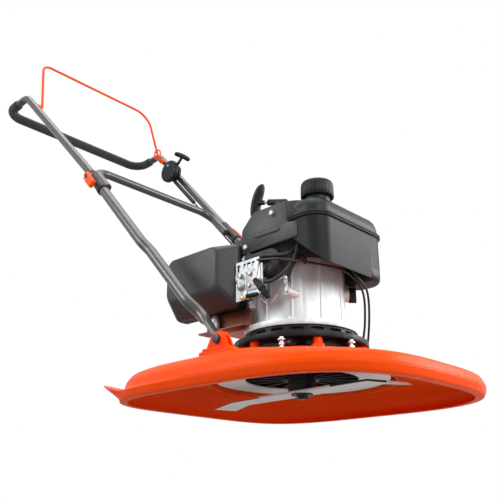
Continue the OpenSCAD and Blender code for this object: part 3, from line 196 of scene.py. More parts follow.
FINISHES = {
    "deck_orange": dict(code="#f64c04", rough=0.4, grain=420.0, depth=0.02, mottle=0.05, wear=0.08,
                        specular=0.09),
    "painted_orange": dict(code="#f65006", rough=0.4, grain=700.0, depth=0.03, mottle=0.06, specular=0.16),
    "lever_orange": dict(code="#f45008", rough=0.42, grain=1400.0, depth=0.06, mottle=0.06, specular=0.2),
    "black_plastic": dict(code="#141618", rough=0.42, grain=1500.0, depth=0.08, mottle=0.2, specular=0.2),
    "engine_plastic": dict(code="#333637", rough=0.44, grain=1700.0, depth=0.12, mottle=0.1, spread=0.03,
                           specular=0.34),
    "tank_plastic": dict(code="#1b2022", rough=0.4, grain=1500.0, depth=0.05, mottle=0.1, spread=0.02,
                         specular=0.22),
    "pale_plastic": dict(code="#f0eeea", rough=0.36, grain=1100.0, depth=0.04, mottle=0.04),
    "sleeve_plastic": dict(code="#1e1e1e", rough=0.5, grain=1300.0, depth=0.14, mottle=0.16, specular=0.3),
    "filter_paper": dict(code="#c9b98a", rough=0.85, grain=2200.0, depth=0.4, mottle=0.15, wear=0.0),
    "cast_alloy": dict(code="#d4d9db", rough=0.5, metal=0.4, grain=380.0, depth=0.2, mottle=0.1),
    "zinc": dict(code="#a3a9ab", rough=0.4, metal=0.6, grain=700.0, depth=0.02, mottle=0.25),
    "bright_steel": dict(code="#d4d4d4", rough=0.24, metal=0.9, grain=600.0, depth=0.01, mottle=0.08),
    "blade_steel": dict(code="#eae7e6", rough=0.4, metal=0.15, grain=420.0, depth=0.08, mottle=0.05,
                        stretch=(6.0, 0.35, 6.0)),
    "brass": dict(code="#c4a17c", rough=0.34, metal=0.8, grain=900.0, depth=0.06, mottle=0.14),
    "warm_metal": dict(code="#7a4a35", rough=0.42, metal=0.5, grain=600.0, depth=0.14, mottle=0.3),
    "painted_black": dict(code="#1f2021", rough=0.4, grain=800.0, depth=0.1, mottle=0.2),
    "tube_metal": dict(code="#504e4d", rough=0.3, metal=0.6, grain=700.0, depth=0.004, mottle=0.06,
                       spread=0.03, wear=0.0),
    "rubber": dict(code="#1d1e1f", rough=0.62, grain=1900.0, depth=0.25, mottle=0.25, wear=0.1),
    "foam": dict(code="#23282a", rough=0.92, grain=1300.0, depth=0.8, mottle=0.25, wear=0.0, sheen=0.2),
    "cable": dict(code="#17181a", rough=0.45, grain=1500.0, depth=0.12, mottle=0.2, wear=0.0),
}
MATERIALS = {name: surface(name, **finish) for name, finish in FINISHES.items()}
MATERIALS["rope"] = braid("rope", "#cfccc4")


# Mesh helpers
BEND_STEP = 6.0


def piece(name, body, slot, parts, replaced=(), angle=35.0, ride=True):
    """Makes one object of several (points, faces) parts and rides it on a body."""
    points, faces = [], []
    for part_points, part_faces in parts:
        base = len(points)
        points += [tuple(p) for p in part_points]
        faces += [[base + i for i in face] for face in part_faces]
    mesh = bpy.data.meshes.new(name)
    mesh.from_pydata(points, [], faces)
    form = bmesh.new()
    form.from_mesh(mesh)
    bmesh.ops.recalc_face_normals(form, faces=form.faces)
    form.to_mesh(mesh)
    form.free()
    obj = bpy.data.objects.new(name, mesh)
    COLLECTION.objects.link(obj)
    finish_mesh(obj, slot, angle)
    if ride:
        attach(obj, body)
    if replaced:
        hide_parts(*replaced)
    return obj


def finish_mesh(obj, slot, angle):
    mesh = obj.data
    mesh.materials.clear()
    mesh.materials.append(MATERIALS[slot])
    for face in mesh.polygons:
        face.use_smooth = True
        face.material_index = 0
    mesh.set_sharp_from_angle(angle=math.radians(angle))


def moved(part, matrix):
    points, faces = part
    return [matrix @ Vector(p) for p in points], faces


def shifted(place):
    return Matrix.Translation(place)


def spun(degrees, axis):
    return Matrix.Rotation(math.radians(degrees), 4, axis)


def eased(t):
    t = max(0.0, min(1.0, t))
    return t * t * (3 - 2 * t)


def loft(rings, closed=False, capped=True):
    """Skin over rings that all have the same number of points."""
    count, many = len(rings[0]), len(rings)
    points = [p for ring in rings for p in ring]
    faces = []
    for j in range(many if closed else many - 1):
        below, above = j * count, (j + 1) % many * count
        for i in range(count):
            after = (i + 1) % count
            faces.append([below + i, below + after, above + after, above + i])
    if capped and not closed:
        faces.append(list(range(count))[::-1])
        faces.append(list(range((many - 1) * count, many * count)))
    return points, faces


def bent_line(points, bends):
    """Corner points joined by straight runs and round bends; bends is one radius or one for each corner."""
    points = [Vector(p) for p in points]
    if not isinstance(bends, list):
        bends = [bends] * (len(points) - 2)
    line = [points[0]]
    for before, corner, after, bend in zip(points, points[1:], points[2:], bends):
        first = (corner - before).normalized()
        second = (after - corner).normalized()
        turn = first.angle(second)
        start = corner - first * bend * math.tan(turn / 2)
        out = (second - first * first.dot(second)).normalized()
        steps = max(3, math.ceil(math.degrees(turn) / BEND_STEP))
        for k in range(steps + 1):
            a = turn * k / steps
            line.append(start + first * bend * math.sin(a) + out * bend * (1 - math.cos(a)))
    return line + [points[-1]]


def smooth_line(points, steps):
    """Smooth curve through route points."""
    points = [Vector(p) for p in points]
    line = []
    for i in range(len(points) - 1):
        a, b, c, d = (points[max(0, min(len(points) - 1, i + k))] for k in (-1, 0, 1, 2))
        for k in range(steps):
            t = k / steps
            line.append((2 * b + (c - a) * t + (2 * a - 5 * b + 4 * c - d) * t * t
                         + (3 * b - a - 3 * c + d) * t ** 3) / 2)
    return line + [points[-1]]


def sweep(line, radii, sides):
    """Round or oval skin along a line; radii is one radius or pair, or a list with one for each point."""
    rings, normal = [], None
    for i, p in enumerate(line):
        ahead = (line[min(i + 1, len(line) - 1)] - line[max(i - 1, 0)]).normalized()
        guess = normal or (Vector((1, 0, 0)) if abs(ahead.z) > 0.9 else Vector((0, 0, 1)))
        normal = (guess - ahead * guess.dot(ahead)).normalized()
        side = ahead.cross(normal)
        r = radii[i] if isinstance(radii, list) else radii
        wide, deep = r if isinstance(r, tuple) else (r, r)
        rings.append([p + normal * wide * math.cos(a) + side * deep * math.sin(a)
                      for a in (math.tau * k / sides for k in range(sides))])
    return loft(rings)


def stepped_rod(start, stop, steps, sides):
    """A straight rod from start to stop; steps are shares of the way and radii."""
    return sweep([start.lerp(stop, t) for t, _ in steps], [r for _, r in steps], sides)


def capped_rod(line, r, sides, lip):
    """A rod along a line with both ends rounded over a short lip."""
    first = (line[0] - line[1]).normalized()
    last = (line[-1] - line[-2]).normalized()
    turns = [math.radians(a) for a in (10, 30, 50, 70)]
    head = [(line[0] + first * lip * (math.cos(a) - 1), r - lip + lip * math.sin(a)) for a in turns]
    tail = [(line[-1] + last * lip * (math.cos(a) - 1), r - lip + lip * math.sin(a)) for a in turns[::-1]]
    full = [line[0] - first * lip] + line[1:-1] + [line[-1] - last * lip]
    points = [p for p, _ in head] + full + [p for p, _ in tail]
    radii = [s for _, s in head] + [r] * len(full) + [s for _, s in tail]
    return sweep(points, radii, sides)


def turned(profile, sides, matrix=Matrix(), closed=False):
    """Skin of (radius, height) points turned about Z, then placed; a closed profile makes a hoop."""
    angles = [math.tau * k / sides for k in range(sides)]
    rings = [[(r * math.cos(a), r * math.sin(a), z) for a in angles] for r, z in profile]
    return moved(loft(rings, closed=closed), matrix)


def round_plan(width, length, r, steps=6):
    """Corner-rounded rectangle as a list of (x, y)."""
    ring = []
    for quarter, (x, y) in enumerate(((1, 1), (-1, 1), (-1, -1), (1, -1))):
        for k in range(steps + 1):
            a = math.pi / 2 * (quarter + k / steps)
            ring.append((x * (width / 2 - r) + r * math.cos(a), y * (length / 2 - r) + r * math.sin(a)))
    return ring


def block(width, length, height, r, edge):
    """Upright block with round corners and a rounded top and bottom edge."""
    rings = []
    turns = [math.radians(a) for a in (0, 30, 60, 90)]
    levels = [(edge * (1 - math.sin(a)), edge * (1 - math.cos(a))) for a in turns]
    for inset, z in levels + [(i, height - z) for i, z in levels[::-1]]:
        corner = max(r - inset, 0.0002)
        rings.append([(x, y, z) for x, y in round_plan(width - 2 * inset, length - 2 * inset, corner)])
    return loft(rings)


def rounded_outline(corners, r):
    """Corner points of a flat outline, each replaced by a short round."""
    line = []
    for before, corner, after in zip(corners[-1:] + corners[:-1], corners, corners[1:] + corners[:1]):
        before, corner, after = Vector(before), Vector(corner), Vector(after)
        start = corner + (before - corner).normalized() * r
        stop = corner + (after - corner).normalized() * r
        for k in range(7):
            t = k / 6
            line.append(start * (1 - t) ** 2 + corner * 2 * t * (1 - t) + stop * t * t)
    return line


def panel(corners, corner_r, x, thick):
    """Upright panel across X with round corners and rounded edges."""
    outline = rounded_outline(corners, corner_r)
    middle = sum(outline, Vector((0, 0))) / len(outline)
    edge = [(0.0009, 0.0), (0.0003, 0.0003), (0.0, 0.0009)]
    rings = []
    for inset, out in edge + [(inset, thick - out) for inset, out in edge[::-1]]:
        rings.append([(x + out, *(p + (middle - p).normalized() * inset)) for p in outline])
    return loft(rings)


def add_bevel(obj, width):
    bevel = obj.modifiers.new("bevel", "BEVEL")
    bevel.width = width
    bevel.segments = 2
    bevel.limit_method = "ANGLE"
    bevel.angle_limit = math.radians(38)
    return bevel


# Handle frame: pivot, then up along the handle
HANDLE_ANGLE = 47.4
PIVOT = Vector((0.217, 0.022, 0.1))
HANDLE = shifted((0, PIVOT.y, PIVOT.z)) @ spun(HANDLE_ANGLE - 90, "X")
TUBE_R = 0.011
LOWER_R = 0.0125
LEG_X = 0.238
LOWER_LEG_X = 0.23
TOP_X = 0.263


def handle_line(points):
    return [HANDLE @ Vector(p) for p in points]


def mirrored(points):
    return [(-x, y, z) for x, y, z in points]


# Cords: engine cables, cables on the leg, ribbed conduit, starter rope
CABLE_R = 0.0017
SHEATH_R = 0.0025
THROTTLE_ROUTE = [(0.196, 0.018, 0.097), (0.188, 0, 0.092), (0.17, -0.024, 0.106), (0.148, -0.054, 0.134),
                  (0.118, -0.086, 0.18), (0.08, -0.11, 0.235), (0.01, -0.122, 0.258), (-0.06, -0.112, 0.26),
                  (-0.13, -0.064, 0.266), (-0.141, -0.026, 0.272), (-0.141, -0.004, 0.276)]
STOP_ROUTE = [(0.2, 0.018, 0.097), (0.196, -0.004, 0.09), (0.178, -0.034, 0.104), (0.152, -0.066, 0.134),
              (0.118, -0.098, 0.19), (0.07, -0.128, 0.23), (0.028, -0.136, 0.248), (0.014, -0.126, 0.268)]
LEG_ROUTE = [(0.198, 0, 0.003), (0.2, 0.008, 0.04), (0.214, 0.016, 0.1), (0.228, 0.019, 0.16),
             (0.231, 0.02, 0.32), (0.238, 0.02, 0.38), (0.238, 0.02, 0.7), (0.238, 0.02, 0.99)]
LEG_CABLE_SHIFT = 0.0019
CONDUIT_LOW = 0.872
CONDUIT_TOP = 1.017
CONDUIT_R = 0.0065
CONDUIT_RIBS = 30
CONDUIT_GROOVE = 0.0011
CONDUIT_Y = 0.0198
RIB_STEPS = 8
ROPE_AT = Vector((-0.058, 0.01, 0.438))
ROPE_RISE = 16.5
ROPE_R = 0.00225
ROPE_TUCK = 0.006
ROPE_STEPS = 60
GUIDE = 0.052
GRIP_GAP = 0.014
ROPE = shifted(ROPE_AT) @ spun(ROPE_RISE - 90, "X")


def free_cord(name, slot, line, r, sides, lip, angle=35.0):
    """A loose cord fixed to the engine at both ends."""
    cord = piece(name, "deck", slot, [capped_rod(line, r, sides, lip)], angle=angle)
    return cord


def make_cords():
    for name, route in (("throttle_cable", THROTTLE_ROUTE), ("stop_cable", STOP_ROUTE)):
        free_cord(name, "cable", smooth_line(route, 10), SHEATH_R, 16, SHEATH_R / 2)
    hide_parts("engine_cables")
    legs = []
    for shift in (-LEG_CABLE_SHIFT, LEG_CABLE_SHIFT):
        line = smooth_line(handle_line([(x + shift, y, z) for x, y, z in LEG_ROUTE]), 10)
        legs.append(capped_rod(line, CABLE_R, 14, CABLE_R / 2))
    piece("leg_cables", "lower_handle", "cable", legs, ["handle_cables"])


def make_conduit():
    rings = RIB_STEPS * CONDUIT_RIBS
    line = handle_line([(LEG_X, CONDUIT_Y, CONDUIT_LOW + (CONDUIT_TOP - CONDUIT_LOW) * k / rings)
                        for k in range(rings + 1)])
    radii = [CONDUIT_R - CONDUIT_GROOVE * (0.5 - 0.5 * math.cos(math.tau * k / RIB_STEPS))
             for k in range(rings + 1)]
    piece("ribbed_conduit", "upper_handle", "cable", [sweep(line, radii, 20)], ["cable_conduit"], angle=60.0)


def make_rope():
    run = GUIDE + GRIP_GAP + ROPE_TUCK
    line = [ROPE @ Vector((0, 0, -GUIDE / 2 + run * k / ROPE_STEPS)) for k in range(ROPE_STEPS + 1)]
    rope = piece("pull_rope", "deck", "rope", [capped_rod(line, ROPE_R, 14, ROPE_R / 2)], ["starter_rope"],
                 ride=False)
    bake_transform(rope)


# Deck: the same plan and profile as the solid, with rounded runs between the profile's points
DECK_HALF = 0.305
DECK_FRONT = 0.34
DECK_REAR = 0.332
FRONT_SQUARENESS = 3.1
REAR_SQUARENESS = 4.4
REAR_LIFT = 0.028
FLARE_START = 0.6
FLARE_RUN = 0.25
DECK_WALL = 0.004
RIM_SHARE = 0.972
RIM_WIDTH = 0.012
RIM_EDGE = 0.001
CROWN_R = 0.1601
CROWN_Z = 0.084
INLET_R = 0.128
INLET_EDGE = 0.0015
DECK_POINTS = 240
DIP_START = 0.2
DIP_RUN = 0.5
# Front share, rear share and height of each outer profile point, and how far it lifts with the rear lip
DECK_LIP = [(RIM_SHARE, RIM_SHARE, 0.0, 0), (0.984, 0.982, 0.001, 0), (0.992, 0.99, 0.005, 0.25),
            (1.0, 1.105, 0.014, 1), (1.0, 1.1, 0.017, 1), (0.998, 0.962, 0.022, 0)]
# The same for the dome, with its dip at the front
DECK_DOME = [(0.978, 0.945, 0.038, 0.002), (0.938, 0.925, 0.05, 0.009), (0.905, 0.9, 0.056, 0.012),
             (0.8, 0.8, 0.067, 0.014)]
# The same for the wall's inside just above the rim
DECK_INSIDE = (0.99, 0.955, 0.014)
STANDOFF_PROFILE = [(0.014, 0), (0.0135, 0.002), (0.0135, 0.009), (0.0125, 0.0105), (0.0095, 0.011),
                    (0.0092, 0.0225), (0.0085, 0.024), (0.004, 0.024)]
STANDOFFS = 6
STANDOFF_R = 0.13
STANDOFF_START = 174.0
# Width, length, height, corner and edge of the pad under each handle bracket
PAD_BLOCK = (0.036, 0.092, 0.014, 0.009, 0.0025)
PAD_Z = 0.064


def plan_r(a):
    reach, power = (DECK_FRONT, FRONT_SQUARENESS) if math.sin(a) < 0 else (DECK_REAR, REAR_SQUARENESS)
    across = (abs(math.cos(a)) / DECK_HALF) ** power
    ahead = (abs(math.sin(a)) / reach) ** power
    return (across + ahead) ** (-1 / power)


def deck_section(a):
    """Closed section of the deck at one angle, from the rim up and back down inside."""
    rear = eased(math.sin(a))
    flare = eased((math.sin(a) - FLARE_START) / FLARE_RUN)
    dip = eased((-math.sin(a) - DIP_START) / DIP_RUN)
    reach = plan_r(a)

    def at(front, back, share=rear):
        return (front + (back - front) * share) * reach

    outer = [(at(f, b, flare if lift else rear), z + lift * REAR_LIFT * flare) for f, b, z, lift in DECK_LIP]
    dome = [(at(f, b), z - fall * dip) for f, b, z, fall in DECK_DOME] + [(CROWN_R, CROWN_Z)]
    inlet = [(INLET_R + INLET_EDGE, CROWN_Z), (INLET_R, CROWN_Z - INLET_EDGE), (INLET_R, CROWN_Z - DECK_WALL)]
    inner = [(CROWN_R, CROWN_Z - DECK_WALL)] + [(r - DECK_WALL, z - DECK_WALL) for r, z in dome[-2::-1]]
    front, back, low = DECK_INSIDE
    rim = at(RIM_SHARE, RIM_SHARE) - RIM_WIDTH
    inner += [(at(front, back) - DECK_WALL, low), (rim + RIM_EDGE, 2 * RIM_EDGE), (rim, 0)]
    runs = [[Vector((r, 0, z)) for r, z in run] for run in (outer + dome, inlet, inner)]
    return smooth_line(runs[0], 5) + runs[1] + smooth_line(runs[2], 5)


def make_deck():
    angles = [math.tau * k / DECK_POINTS for k in range(DECK_POINTS)]
    rings = [[(p.x * math.cos(a), p.x * math.sin(a), p.z) for p in deck_section(a)] for a in angles]
    parts = [loft(rings, closed=True)]
    for k in range(STANDOFFS):
        place = spun(STANDOFF_START + 360 / STANDOFFS * k, "Z") @ shifted((STANDOFF_R, 0, CROWN_Z))
        parts.append(turned(STANDOFF_PROFILE, 28, place))
    for side in (-1, 1):
        parts.append(moved(block(*PAD_BLOCK), shifted((side * PIVOT.x, PIVOT.y, PAD_Z))))
    piece("deck_moulding", "deck", "deck_orange", parts, ["deck_shell"], angle=42.0)


# Handle tubes, foam grip and bail
CORNER = 0.048
LOWER_BEND = 0.06
TUBE_LIP = 0.001
BRACE_LIP = 0.002
TAB_R = (0.0045, 0.0135)
TAB_END = 0.0125
TAB_FLAT = (0.02, 0.042)
TAB_NECK = 0.03
NECK_STEPS = 6
LOWER_PATH = [(PIVOT.x, 0, 0.075), (PIVOT.x, 0, 0.087), (LOWER_LEG_X, 0, 0.124), (LOWER_LEG_X, 0, 0.318),
              (LEG_X, 0, 0.352), (LEG_X, 0, 0.689)]
UPPER_PATH = [(LEG_X, 0, 0.566), (LEG_X, 0, 0.716), (TOP_X, 0.008, 1.212), (TOP_X, 0.102, 1.29)]
FOAM_START = (TOP_X, 0.0475, 1.2448)
FOAM_R = 0.0145
FOAM_LIP = 0.003
BRACE_X = 0.2122
BRACE_PATH = [(BRACE_X, 0, 0.632), (BRACE_X, 0, 0.738), (-BRACE_X, 0, 0.738), (-BRACE_X, 0, 0.632)]
BAIL_R = 0.0038
BAIL_PATH = [(0.2482, 0.0071, 1.156), (0.2302, 0.0071, 1.156), (0.214, -0.0839, 1.339)]
BAIL_BENDS = [0.007, 0.06, 0.032, 0.007]
HOOK_R = 0.0026
HOOK_PATH = [(0.2295, 0.009, 1.162), (0.2265, 0.012, 1.176), (0.2245, 0.0, 1.19), (0.2235, -0.016, 1.186),
             (0.2235, -0.021, 1.17), (0.224, -0.012, 1.156), (0.2245, 0.004, 1.151)]


def lower_tube(name, side, node_name):
    """Lower tube with a flat, round-ended tab at the pivot that swells into the round tube."""
    tab = [(TAB_END * math.cos(a), math.sin(a)) for a in map(math.radians, (170, 150, 130, 110, 90))]
    heights = [z for z, _ in tab] + list(TAB_FLAT)
    radii = [(TAB_R[0], TAB_R[1] * s) for _, s in tab] + [TAB_R, TAB_R]
    for k in range(1, NECK_STEPS + 1):
        t = k / NECK_STEPS
        heights.append(TAB_FLAT[1] + TAB_NECK * t)
        radii.append(tuple(r + (LOWER_R - r) * eased(t) for r in TAB_R))
    bent = bent_line(LOWER_PATH, LOWER_BEND)[1:]
    radii += [(LOWER_R, LOWER_R)] * len(bent)
    line = [Vector((PIVOT.x, 0, z)) for z in heights] + bent
    line = handle_line([(side * p.x, p.y, p.z) for p in line])
    piece(name, "lower_handle", "tube_metal", [sweep(line, radii, 32)], [node_name], angle=50.0)


def make_handle():
    lower_tube("leg_tube_left", 1, "lower_tube_left")
    lower_tube("leg_tube_right", -1, "lower_tube_right")
    brace = capped_rod(handle_line(bent_line(BRACE_PATH, CORNER)), TUBE_R, 32, BRACE_LIP)
    piece("brace_tube", "lower_handle", "tube_metal", [brace], ["cross_brace"])
    path = UPPER_PATH + mirrored(UPPER_PATH)[::-1]
    upper = capped_rod(handle_line(bent_line(path, CORNER)), TUBE_R, 32, TUBE_LIP)
    piece("grip_tube", "upper_handle", "tube_metal", [upper], ["upper_handle"])
    ends = [FOAM_START, UPPER_PATH[-1]]
    path = ends + mirrored(ends)[::-1]
    sleeve = capped_rod(handle_line(bent_line(path, CORNER)), FOAM_R, 32, FOAM_LIP)
    foam = piece("foam_sleeve", "upper_handle", "foam", [sleeve], ["foam_grip"])


def make_bail():
    path = BAIL_PATH + mirrored(BAIL_PATH)[::-1]
    wire = capped_rod(handle_line(bent_line(path, BAIL_BENDS)), BAIL_R, 20, TUBE_LIP)
    hook = capped_rod(smooth_line(handle_line(HOOK_PATH), 8), HOOK_R, 16, TUBE_LIP)
    piece("bail_wire", "bail", "painted_orange", [wire, hook], ["bail"])


# Fuel tank: rounded plan hollowed at the back by the blower, double seam, domed top, lipped underside
TANK_HALF = 0.118
TANK_FRONT = -0.15
TANK_REAR = -0.058
TANK_CORNER = 0.038
TANK_LOW = 0.25
TANK_SLOPE = 0.85
BLOWER_R = 0.1003
TANK_TOP = 0.398
DOME_INSET = 0.022
DOME_STEPS = 10
NECK = shifted((-0.07, -0.112, 0))
VENT = shifted((0.035, -0.112, 0))
# Inset and height over the sloping underside of each lower ring, from inside the lip to the wall
TANK_LIP = [(0.008, 0.009), (0.0052, 0.0075), (0.0042, 0.003), (0.0034, 0.0008), (0.002, 0.0),
            (0.0007, 0.0008), (0.0, 0.003)]
# Inset and height of each ring round the double seam
TANK_SEAM = [(0.0, 0.3475), (-0.0008, 0.3495), (-0.004, 0.3505), (-0.005, 0.3516), (-0.005, 0.3532),
             (-0.0042, 0.3542), (-0.0026, 0.3548), (-0.0042, 0.3555), (-0.005, 0.3564), (-0.005, 0.3574),
             (-0.004, 0.3584), (-0.0004, 0.359), (0.0006, 0.3605)]
NECK_PROFILE = [(0.036, 0.362), (0.0325, 0.37), (0.0295, 0.38), (0.0275, 0.392), (0.027, 0.4),
                (0.027, 0.4165), (0.0262, 0.418), (0.02, 0.418)]
VENT_PROFILE = [(0.0085, 0.3955), (0.0065, 0.398), (0.006, 0.402), (0.005, 0.405), (0.003, 0.405)]
RUN_STEPS = 96
CORNER_STEPS = 24
FOOT_START = 0.06
FOOT_TOP = 0.272
# Inward share and height of each ring of the tank's foot
FOOT_RINGS = [(0.3, 0.25), (0.16, 0.2504), (0.08, 0.252), (0.03, 0.2555), (0.006, 0.261), (0.0, 0.268),
              (0.0, 0.2745), (0.02, 0.278)]
CAP_R = 0.0348
CAP_RIBS = 44
CAP_RIB_DEPTH = 0.0005
CAP_RIBBED_FROM = 0.0325
CAP_PROFILE = [(0.004, 0.4195), (0.0272, 0.4195), (0.0275, 0.4045), (0.0285, 0.404), (0.0335, 0.404),
               (CAP_R, 0.4055), (CAP_R, 0.42), (CAP_R - 0.0004, 0.431), (CAP_R - 0.0016, 0.4365),
               (0.031, 0.4388), (0.028, 0.4396), (0.02, 0.44), (0.004, 0.44)]


def tank_ring(inset, height):
    """Ring of the tank's plan; the height is one value or a rule for each x and y."""
    plan = round_plan(2 * (TANK_HALF - inset), TANK_REAR - TANK_FRONT - 2 * inset, TANK_CORNER - inset,
                      CORNER_STEPS)
    middle = (TANK_FRONT + TANK_REAR) / 2
    outline = [Vector((x, y + middle)) for x, y in plan]
    dense = [a.lerp(b, k / CORNER_STEPS) for a, b in zip(outline, outline[1:] + outline[:1])
             for k in range(CORNER_STEPS)]
    first = next(i for i, p in enumerate(dense) if p.y > middle and p.x < 0 and p.length > BLOWER_R
                 and dense[i - 1].length <= BLOWER_R)
    run = [p for p in dense[first:] + dense[:first] if p.length > BLOWER_R]
    gaps = [0.0]
    for a, b in zip(run, run[1:]):
        gaps.append(gaps[-1] + (b - a).length)
    ring, at = [], 0
    for k in range(RUN_STEPS + 1):
        want = gaps[-1] * k / RUN_STEPS
        while at < len(gaps) - 2 and gaps[at + 1] < want:
            at += 1
        ring.append(run[at].lerp(run[at + 1], (want - gaps[at]) / max(1e-9, gaps[at + 1] - gaps[at])))
    start = math.atan2(ring[-1].y, ring[-1].x)
    stop = math.atan2(ring[0].y, ring[0].x)
    for k in range(1, RUN_STEPS):
        a = start + (stop - start) * k / RUN_STEPS
        ring.append(Vector((BLOWER_R * math.cos(a), BLOWER_R * math.sin(a))))
    return [(p.x, p.y, height(p.x, p.y) if callable(height) else height) for p in ring]


def tank_floor():
    """Faces across the underside, from the front run of the first ring to its back run."""
    def back(k):
        return RUN_STEPS if k == 0 else 0 if k == RUN_STEPS else RUN_STEPS + k

    quads = [[k, k + 1, back(RUN_STEPS - 1 - k), back(RUN_STEPS - k)] for k in range(RUN_STEPS)]
    return [list(dict.fromkeys(quad)) for quad in quads]


def tank_foot():
    """Flat-bottomed foot at the tank's left end, up into the body."""
    plan = [Vector((x, y)) for x, y, _ in tank_ring(0.0, 0.0) if x > FOOT_START]
    middle = sum(plan, Vector((0, 0))) / len(plan)
    rings = []
    for shrink, z in FOOT_RINGS:
        rings.append([(*(middle + (p - middle) * (1 - shrink)), z) for p in plan])
    return loft(rings)


def make_tank():
    def underside(rise):
        return lambda x, y: rise + (FOOT_TOP if x > FOOT_START else TANK_LOW + TANK_SLOPE * (y - TANK_FRONT))

    rings = [tank_ring(inset, underside(rise)) for inset, rise in TANK_LIP]
    rings += [tank_ring(inset, z) for inset, z in TANK_SEAM]
    edge, shoulder = TANK_SEAM[-1]
    for k in range(1, DOME_STEPS + 1):
        a = math.pi / 2 * k / DOME_STEPS
        inset = edge + DOME_INSET * (1 - math.cos(a))
        rings.append(tank_ring(inset, shoulder + (TANK_TOP - shoulder) * math.sin(a)))
    points, faces = loft(rings, capped=False)
    top = list(range(len(points) - len(rings[0]), len(points)))
    body = (points, faces + tank_floor() + [top])
    parts = [body, turned(NECK_PROFILE, 48, NECK), turned(VENT_PROFILE, 24, VENT), tank_foot()]
    piece("tank_moulding", "deck", "tank_plastic", parts, ["fuel_tank"], angle=50.0)


def make_cap():
    steps = 8 * CAP_RIBS
    rings = []
    for r, z in CAP_PROFILE:
        depth = CAP_RIB_DEPTH if r > CAP_RIBBED_FROM else 0.0
        ring = []
        for k in range(steps):
            a = math.tau * k / steps
            ribbed = r - depth * (0.5 - 0.5 * math.cos(CAP_RIBS * a))
            ring.append((ribbed * math.cos(a), ribbed * math.sin(a), z))
        rings.append(ring)
    piece("ribbed_cap", "fuel_cap", "black_plastic", [moved(loft(rings), NECK)], ["fuel_cap"], angle=60.0)


# Air cleaner cover: rim band, long bevels and a rounded face
CLEANER_BACK = -0.122
# Front, rear, low and top of the rim, and how far the face draws in from each
CLEANER_BOX = (0.062, 0.258, 0.192, 0.334)
CLEANER_INSETS = (0.034, 0.009, 0.042, 0.009)
CLEANER_CORNER = 0.012
CLEANER_ROUNDING = 0.01
# Distance from the back and share of the way from the rim to the face of each ring
CLEANER_RINGS = [(0.0, 0.0), (0.005, 0.0), (0.007, 0.006), (0.009, 0.03), (0.012, 0.09), (0.02, 0.27),
                 (0.03, 0.49), (0.039, 0.69), (0.0425, 0.775), (0.0447, 0.86), (0.0456, 0.94), (0.046, 1.0)]


def make_cleaner():
    rings = []
    for out, t in CLEANER_RINGS:
        front, rear, low, top = [edge + way * t * inset for edge, way, inset
                                 in zip(CLEANER_BOX, (1, -1, 1, -1), CLEANER_INSETS)]
        plan = round_plan(rear - front, top - low, CLEANER_CORNER + CLEANER_ROUNDING * t, 10)
        rings.append([(CLEANER_BACK - out, (front + rear) / 2 + y, (low + top) / 2 + z) for y, z in plan])
    piece("cleaner_moulding", "deck", "engine_plastic", [loft(rings)], ["air_cleaner_cover"], angle=60.0)


# Hoses and spring on the carburettor side
HOSE_R = 0.01
HOSE_STEP = 0.006
HOSE_LIP = 0.001
HOSE_ROUTE = [(-0.1115, 0.062, 0.296), (-0.1115, -0.034, 0.296), (-0.12, -0.034, 0.252),
              (-0.12, 0.004, 0.252)]
CLAMP_RISE = 0.0014
FUEL_ROUTE = [(-0.13, 0.005, 0.236), (-0.133, -0.014, 0.229), (-0.132, -0.038, 0.227), (-0.126, -0.06, 0.238),
              (-0.107, -0.071, 0.266), (-0.098, -0.077, 0.294), (-0.097, -0.08, 0.314)]
FUEL_R = 0.004
BREATHER_ROUTE = [(-0.088, -0.04, 0.238), (-0.098, -0.047, 0.236), (-0.1005, -0.056, 0.25),
                  (-0.095, -0.063, 0.268), (-0.085, -0.069, 0.28), (-0.076, -0.073, 0.281),
                  (-0.064, -0.07, 0.274)]
BREATHER_R = 0.0055
PURGE_ROUTE = [(-0.1225, 0.06, 0.277), (-0.129, 0.03, 0.285), (-0.1295, -0.012, 0.286),
               (-0.1295, -0.036, 0.2815), (-0.117, -0.058, 0.2815), (-0.096, -0.068, 0.294),
               (-0.084, -0.0705, 0.3165)]
PURGE_R = 0.0038
LINK_X = -0.1172
LINK_Z = 0.232
SPRING_Y = (-0.047, -0.02)
SPRING_R = 0.0017
SPRING_CURLS = 10
CURL_STEPS = 18
WIRE_R = 0.0005
WIRE_LIP = 0.0002


def clamp_band(start, stop):
    """A raised band round the intake hose between two of its points."""
    points = [start.lerp(stop, t) for t in (0.0, 0.1, 0.9, 1.0)]
    return sweep(points, [HOSE_R, HOSE_R + CLAMP_RISE, HOSE_R + CLAMP_RISE, HOSE_R], 28)


def make_hoses():
    line = bent_line(HOSE_ROUTE, 2 * HOSE_R)
    even = []
    for a, b in zip(line, line[1:]):
        many = max(1, round((b - a).length / HOSE_STEP))
        even += [a.lerp(b, k / many) for k in range(many)]
    even.append(line[-1])
    piece("air_hose", "deck", "rubber", [sweep(even, HOSE_R, 24)], ["intake_hose"], angle=50.0)
    piece("hose_clamps", "deck", "zinc", [clamp_band(even[1], even[2]), clamp_band(even[-2], even[-3])])
    for name, route, r in (("fuel_hose", FUEL_ROUTE, FUEL_R), ("breather_hose", BREATHER_ROUTE, BREATHER_R),
                           ("purge_hose", PURGE_ROUTE, PURGE_R)):
        free_cord(name, "rubber", smooth_line(route, 12), r, 20, HOSE_LIP, angle=50.0)


